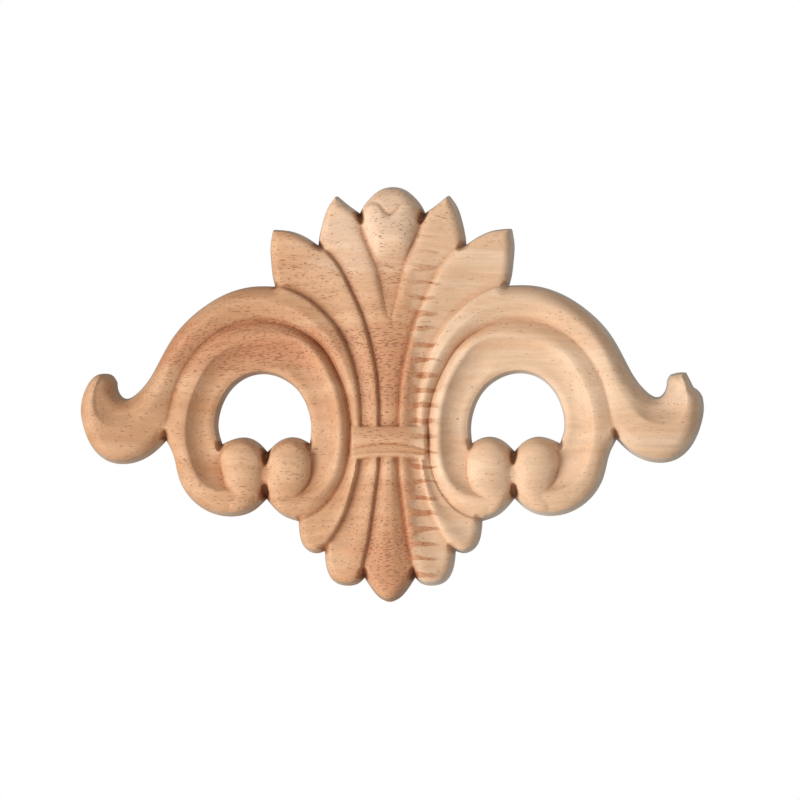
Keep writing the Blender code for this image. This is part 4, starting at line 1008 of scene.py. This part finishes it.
def finger_jointed_wood():
    """A group that gives the wood's colour, open pores, grain and right board at a place in metres.

    The grain is noise drawn out along x, and each board has its own. The pores are finer noise cut off
    sharply, so each is a short dash on a flat surface and a dot on a slope."""
    tree = bpy.data.node_groups.new("finger_jointed_wood", "ShaderNodeTree")
    tree.interface.new_socket("Place", in_out="INPUT", socket_type="NodeSocketVector")
    tree.interface.new_socket("Colour", in_out="OUTPUT", socket_type="NodeSocketColor")
    for name in ("Pores", "Grain", "Right board"):
        tree.interface.new_socket(name, in_out="OUTPUT", socket_type="NodeSocketFloat")
    wires = Wiring(tree)
    place = wires.in_millimetres(wires.put("NodeGroupInput", {}).outputs["Place"])
    x, _, z = wires.put("ShaderNodeSeparateXYZ", {0: place}).outputs
    right, seam, tooth = board_joint(wires, place, x, z)

    board = wires.vector("MULTIPLY_ADD", right, BOARD_SHIFT, place)
    board = wires.vector("MULTIPLY_ADD", wires.noise(board, GRAIN_BENDS, 1.0), BEND, board)
    broad = wires.noise(board, BROAD_GRAIN)
    fibres = wires.noise(board, FIBRES, 2.0, FINE_ROUGHNESS)
    ragged = wires.noise(board, ZONE_RAGS)
    reds = wires.zones(place, ragged, RED_ZONES)
    pales = wires.zones(place, ragged, PALE_ZONES)

    patches = wires.rise(wires.noise(board, PORE_PATCHES, 1.0), PATCH_RISE)
    openness = wires.noise(board, PORE_DASHES, 0.0)
    for mask, amount in ((patches, PATCH_OPENNESS), (reds, RED_OPENNESS), (right, RIGHT_OPENNESS)):
        openness = wires.math("MULTIPLY_ADD", mask, amount, openness)
    pores = wires.rise(openness, PORE_RISE)

    left_colour = wires.mix(wires.rise(broad, LEFT_TAN_RISE), LEFT_PALE, LEFT_TAN)
    left_colour = wires.mix(pales, left_colour, LEFT_PALEST)
    left_colour = wires.mix(reds, left_colour, LEFT_RED)
    left_colour = wires.mix(wires.math("MULTIPLY", tooth, TOOTH_DARKNESS), left_colour, LEFT_RED)
    right_colour = wires.mix(wires.rise(broad, RIGHT_TAN_RISE), RIGHT_PALE, RIGHT_TAN)
    right_colour = wires.mix(wires.rise(x, NEAR_JOINT), BESIDE_JOINT, right_colour)
    colour = wires.mix(right, left_colour, right_colour)

    ends = wires.rise(wires.math("ABSOLUTE", x), ENDS)
    tone = wires.math("MULTIPLY_ADD", ends, -ENDS_DARKNESS, 1.0)
    tone = wires.sway(wires.noise(board, MIDDLE_GRAIN, 3.0), MIDDLE_TONE, tone)
    tone = wires.sway(wires.noise(board, FINE_GRAIN, 2.0, FINE_ROUGHNESS), FINE_TONE, tone)
    tone = wires.sway(fibres, FIBRE_TONE, tone)
    tone = wires.math("MULTIPLY", tone, wires.math("MULTIPLY_ADD", seam, -SEAM_DARKNESS, 1.0))
    colour = wires.mix(wires.math("MULTIPLY", pores, PORE_SHARE), wires.shade(colour, tone), PORE_COLOUR)
    grain = wires.math("SUBTRACT", wires.math("MULTIPLY", fibres, FIBRE_RELIEF), pores)
    wires.put("NodeGroupOutput", {"Colour": colour, "Pores": pores, "Grain": grain, "Right board": right})
    return tree


def wood_finish(group, name, shade, roughness, creases, saw_marks):
    """One finish of the wood: its colour times a shade, with painted shade in the creases and nicks and a
    painted highlight on the crests, and with its own saw marks.
    """
    material = bpy.data.materials.new(name)
    material.use_nodes = True
    tree = material.node_tree
    wires = Wiring(tree)
    place = wires.put("ShaderNodeTexCoord", {}).outputs["Object"]
    wood = wires.put("ShaderNodeGroup", {"Place": place}, node_tree=group).outputs
    colour = wires.shade(wood["Colour"], shade)
    if creases:
        hollow = wires.put("ShaderNodeAttribute", {}, attribute_name="hollow").outputs["Fac"]
        # painted shade in the creases, weaker on the right board
        strength = wires.math("MULTIPLY_ADD", wood["Right board"], -PALE_CREASES * creases, creases)
        strength = wires.math("MULTIPLY", wires.rise(hollow, CREASE_HOLLOW), strength)
        colour = wires.mix(strength, colour, wires.shade(colour, CREASE_PAINTED_SHADE))
        # painted shade in the nicks
        colour = wires.mix(wires.rise(hollow, NICK_HOLLOW), colour, wires.shade(colour, NICK_PAINTED_SHADE))
        # a painted highlight on the crests
        colour = wires.mix(wires.rise(hollow, CREST_HOLLOW), colour, wires.shade(colour, CREST_PAINTED_HIGHLIGHT))
    relief = wood["Grain"]
    if saw_marks:
        marks = wires.noise(wires.in_millimetres(place), saw_marks)
        relief = wires.math("MULTIPLY_ADD", marks, SAW_RELIEF, relief)
    bump = {"Strength": GRAIN_STRENGTH, "Distance": GRAIN_DEPTH, "Height": relief}
    looks = {"Base Color": colour, "Normal": wires.put("ShaderNodeBump", bump).outputs["Normal"],
             "Roughness": wires.math("MULTIPLY_ADD", wood["Pores"], PORE_ROUGHNESS, roughness),
             "Specular IOR Level": SHEEN}
    for socket, value in looks.items():
        wires.feed(tree.nodes["Principled BSDF"].inputs[socket], value)
    return material


# The studio, in metres

FLOOR_RADIUS = 2.4
FLOOR_SIDES = 96
FLOOR_HEIGHT = -0.95
FLOOR_COLOUR = (0.8, 0.8, 0.79, 1.0)
FLOOR_ROUGHNESS = 0.8
WHITE = (1.0, 1.0, 1.0, 1.0)
LIGHT_STRENGTH = 0.45       # the even light from all round
WHITE_STRENGTH = 1.0        # the plain white that the camera sees behind the object
KEY_PLACE = (-1.53, -1.43, -0.28)
KEY_SIZE = 0.8
KEY_POWER = 37.0
VIEW_WIDTH = 0.1926         # the photograph's width at the object
VIEW_TARGET = (0.00217, 0.0, 0.0105)
VIEW_DISTANCE = 1.5
VIEW_AZIMUTH = 4.0
VIEW_ELEVATION = -2.5
VIEW_REACH = 20.0           # the camera sees this far
SENSOR_WIDTH = 36.0


def aim(thing, place):
    """Puts a lamp or a camera at a place, and points it at the object."""
    thing.location = place
    thing.rotation_euler = (Vector(VIEW_TARGET) - Vector(place)).to_track_quat("-Z", "Y").to_euler()


def studio_floor():
    """A plain pale floor: a flat disc, a fan of triangles round its middle."""
    around = np.arange(FLOOR_SIDES)
    angles = 2.0 * math.pi * around / FLOOR_SIDES
    ring = np.stack([np.cos(angles), np.sin(angles), np.zeros(FLOOR_SIDES)], axis=1) * FLOOR_RADIUS
    points = np.concatenate([np.zeros((1, 3)), ring]) + (0.0, 0.0, FLOOR_HEIGHT)
    faces = np.stack([np.zeros(FLOOR_SIDES, int), 1 + around, 1 + np.roll(around, -1)], axis=1)
    mesh = bpy.data.meshes.new("studio_floor")
    mesh.from_pydata(points.tolist(), [], faces.tolist())
    material = bpy.data.materials.new("studio_floor")
    material.use_nodes = True
    shader = material.node_tree.nodes["Principled BSDF"]
    shader.inputs["Base Color"].default_value = FLOOR_COLOUR
    shader.inputs["Roughness"].default_value = FLOOR_ROUGHNESS
    mesh.materials.append(material)
    new_object("studio_floor", mesh)


def studio_light():
    """Even light from all round, white behind the object, and a large soft lamp, low at the left."""
    world = bpy.data.worlds.new("studio")
    world.use_nodes = True
    bpy.context.scene.world = world
    wires = Wiring(world.node_tree)
    seen = wires.put("ShaderNodeLightPath", {}).outputs["Is Camera Ray"]
    light, white = (wires.put("ShaderNodeBackground", {"Color": WHITE, "Strength": strength}).outputs[0]
                    for strength in (LIGHT_STRENGTH, WHITE_STRENGTH))
    both = wires.put("ShaderNodeMixShader", {0: seen, 1: light, 2: white}).outputs[0]
    wires.feed(world.node_tree.nodes["World Output"].inputs["Surface"], both)
    key = bpy.data.lights.new("key", "AREA")
    key.size = KEY_SIZE
    key.energy = KEY_POWER
    aim(new_object("key", key), KEY_PLACE)
    bpy.context.scene.view_settings.view_transform = "Standard"


def studio_camera():
    """A long lens at the photograph's angle, a little to the object's right and a little below it."""
    around = math.radians(VIEW_AZIMUTH)
    up = math.radians(VIEW_ELEVATION)
    away = Vector((math.sin(around) * math.cos(up), -math.cos(around) * math.cos(up), math.sin(up)))
    lens = bpy.data.cameras.new("camera")
    lens.sensor_width = SENSOR_WIDTH
    lens.lens = SENSOR_WIDTH * VIEW_DISTANCE / VIEW_WIDTH
    lens.clip_end = VIEW_REACH
    camera = new_object("camera", lens)
    aim(camera, Vector(VIEW_TARGET) + away * VIEW_DISTANCE)
    bpy.context.scene.camera = camera


def main():
    """Loads the model, sets the studio, and puts the fine surface in the solid's place."""
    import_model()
    studio_camera()
    studio_light()
    studio_floor()
    wood = finger_jointed_wood()
    piece = carved_piece([wood_finish(wood, *finish) for finish in FINISHES])
    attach(piece, "root")
    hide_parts("applique")


main()
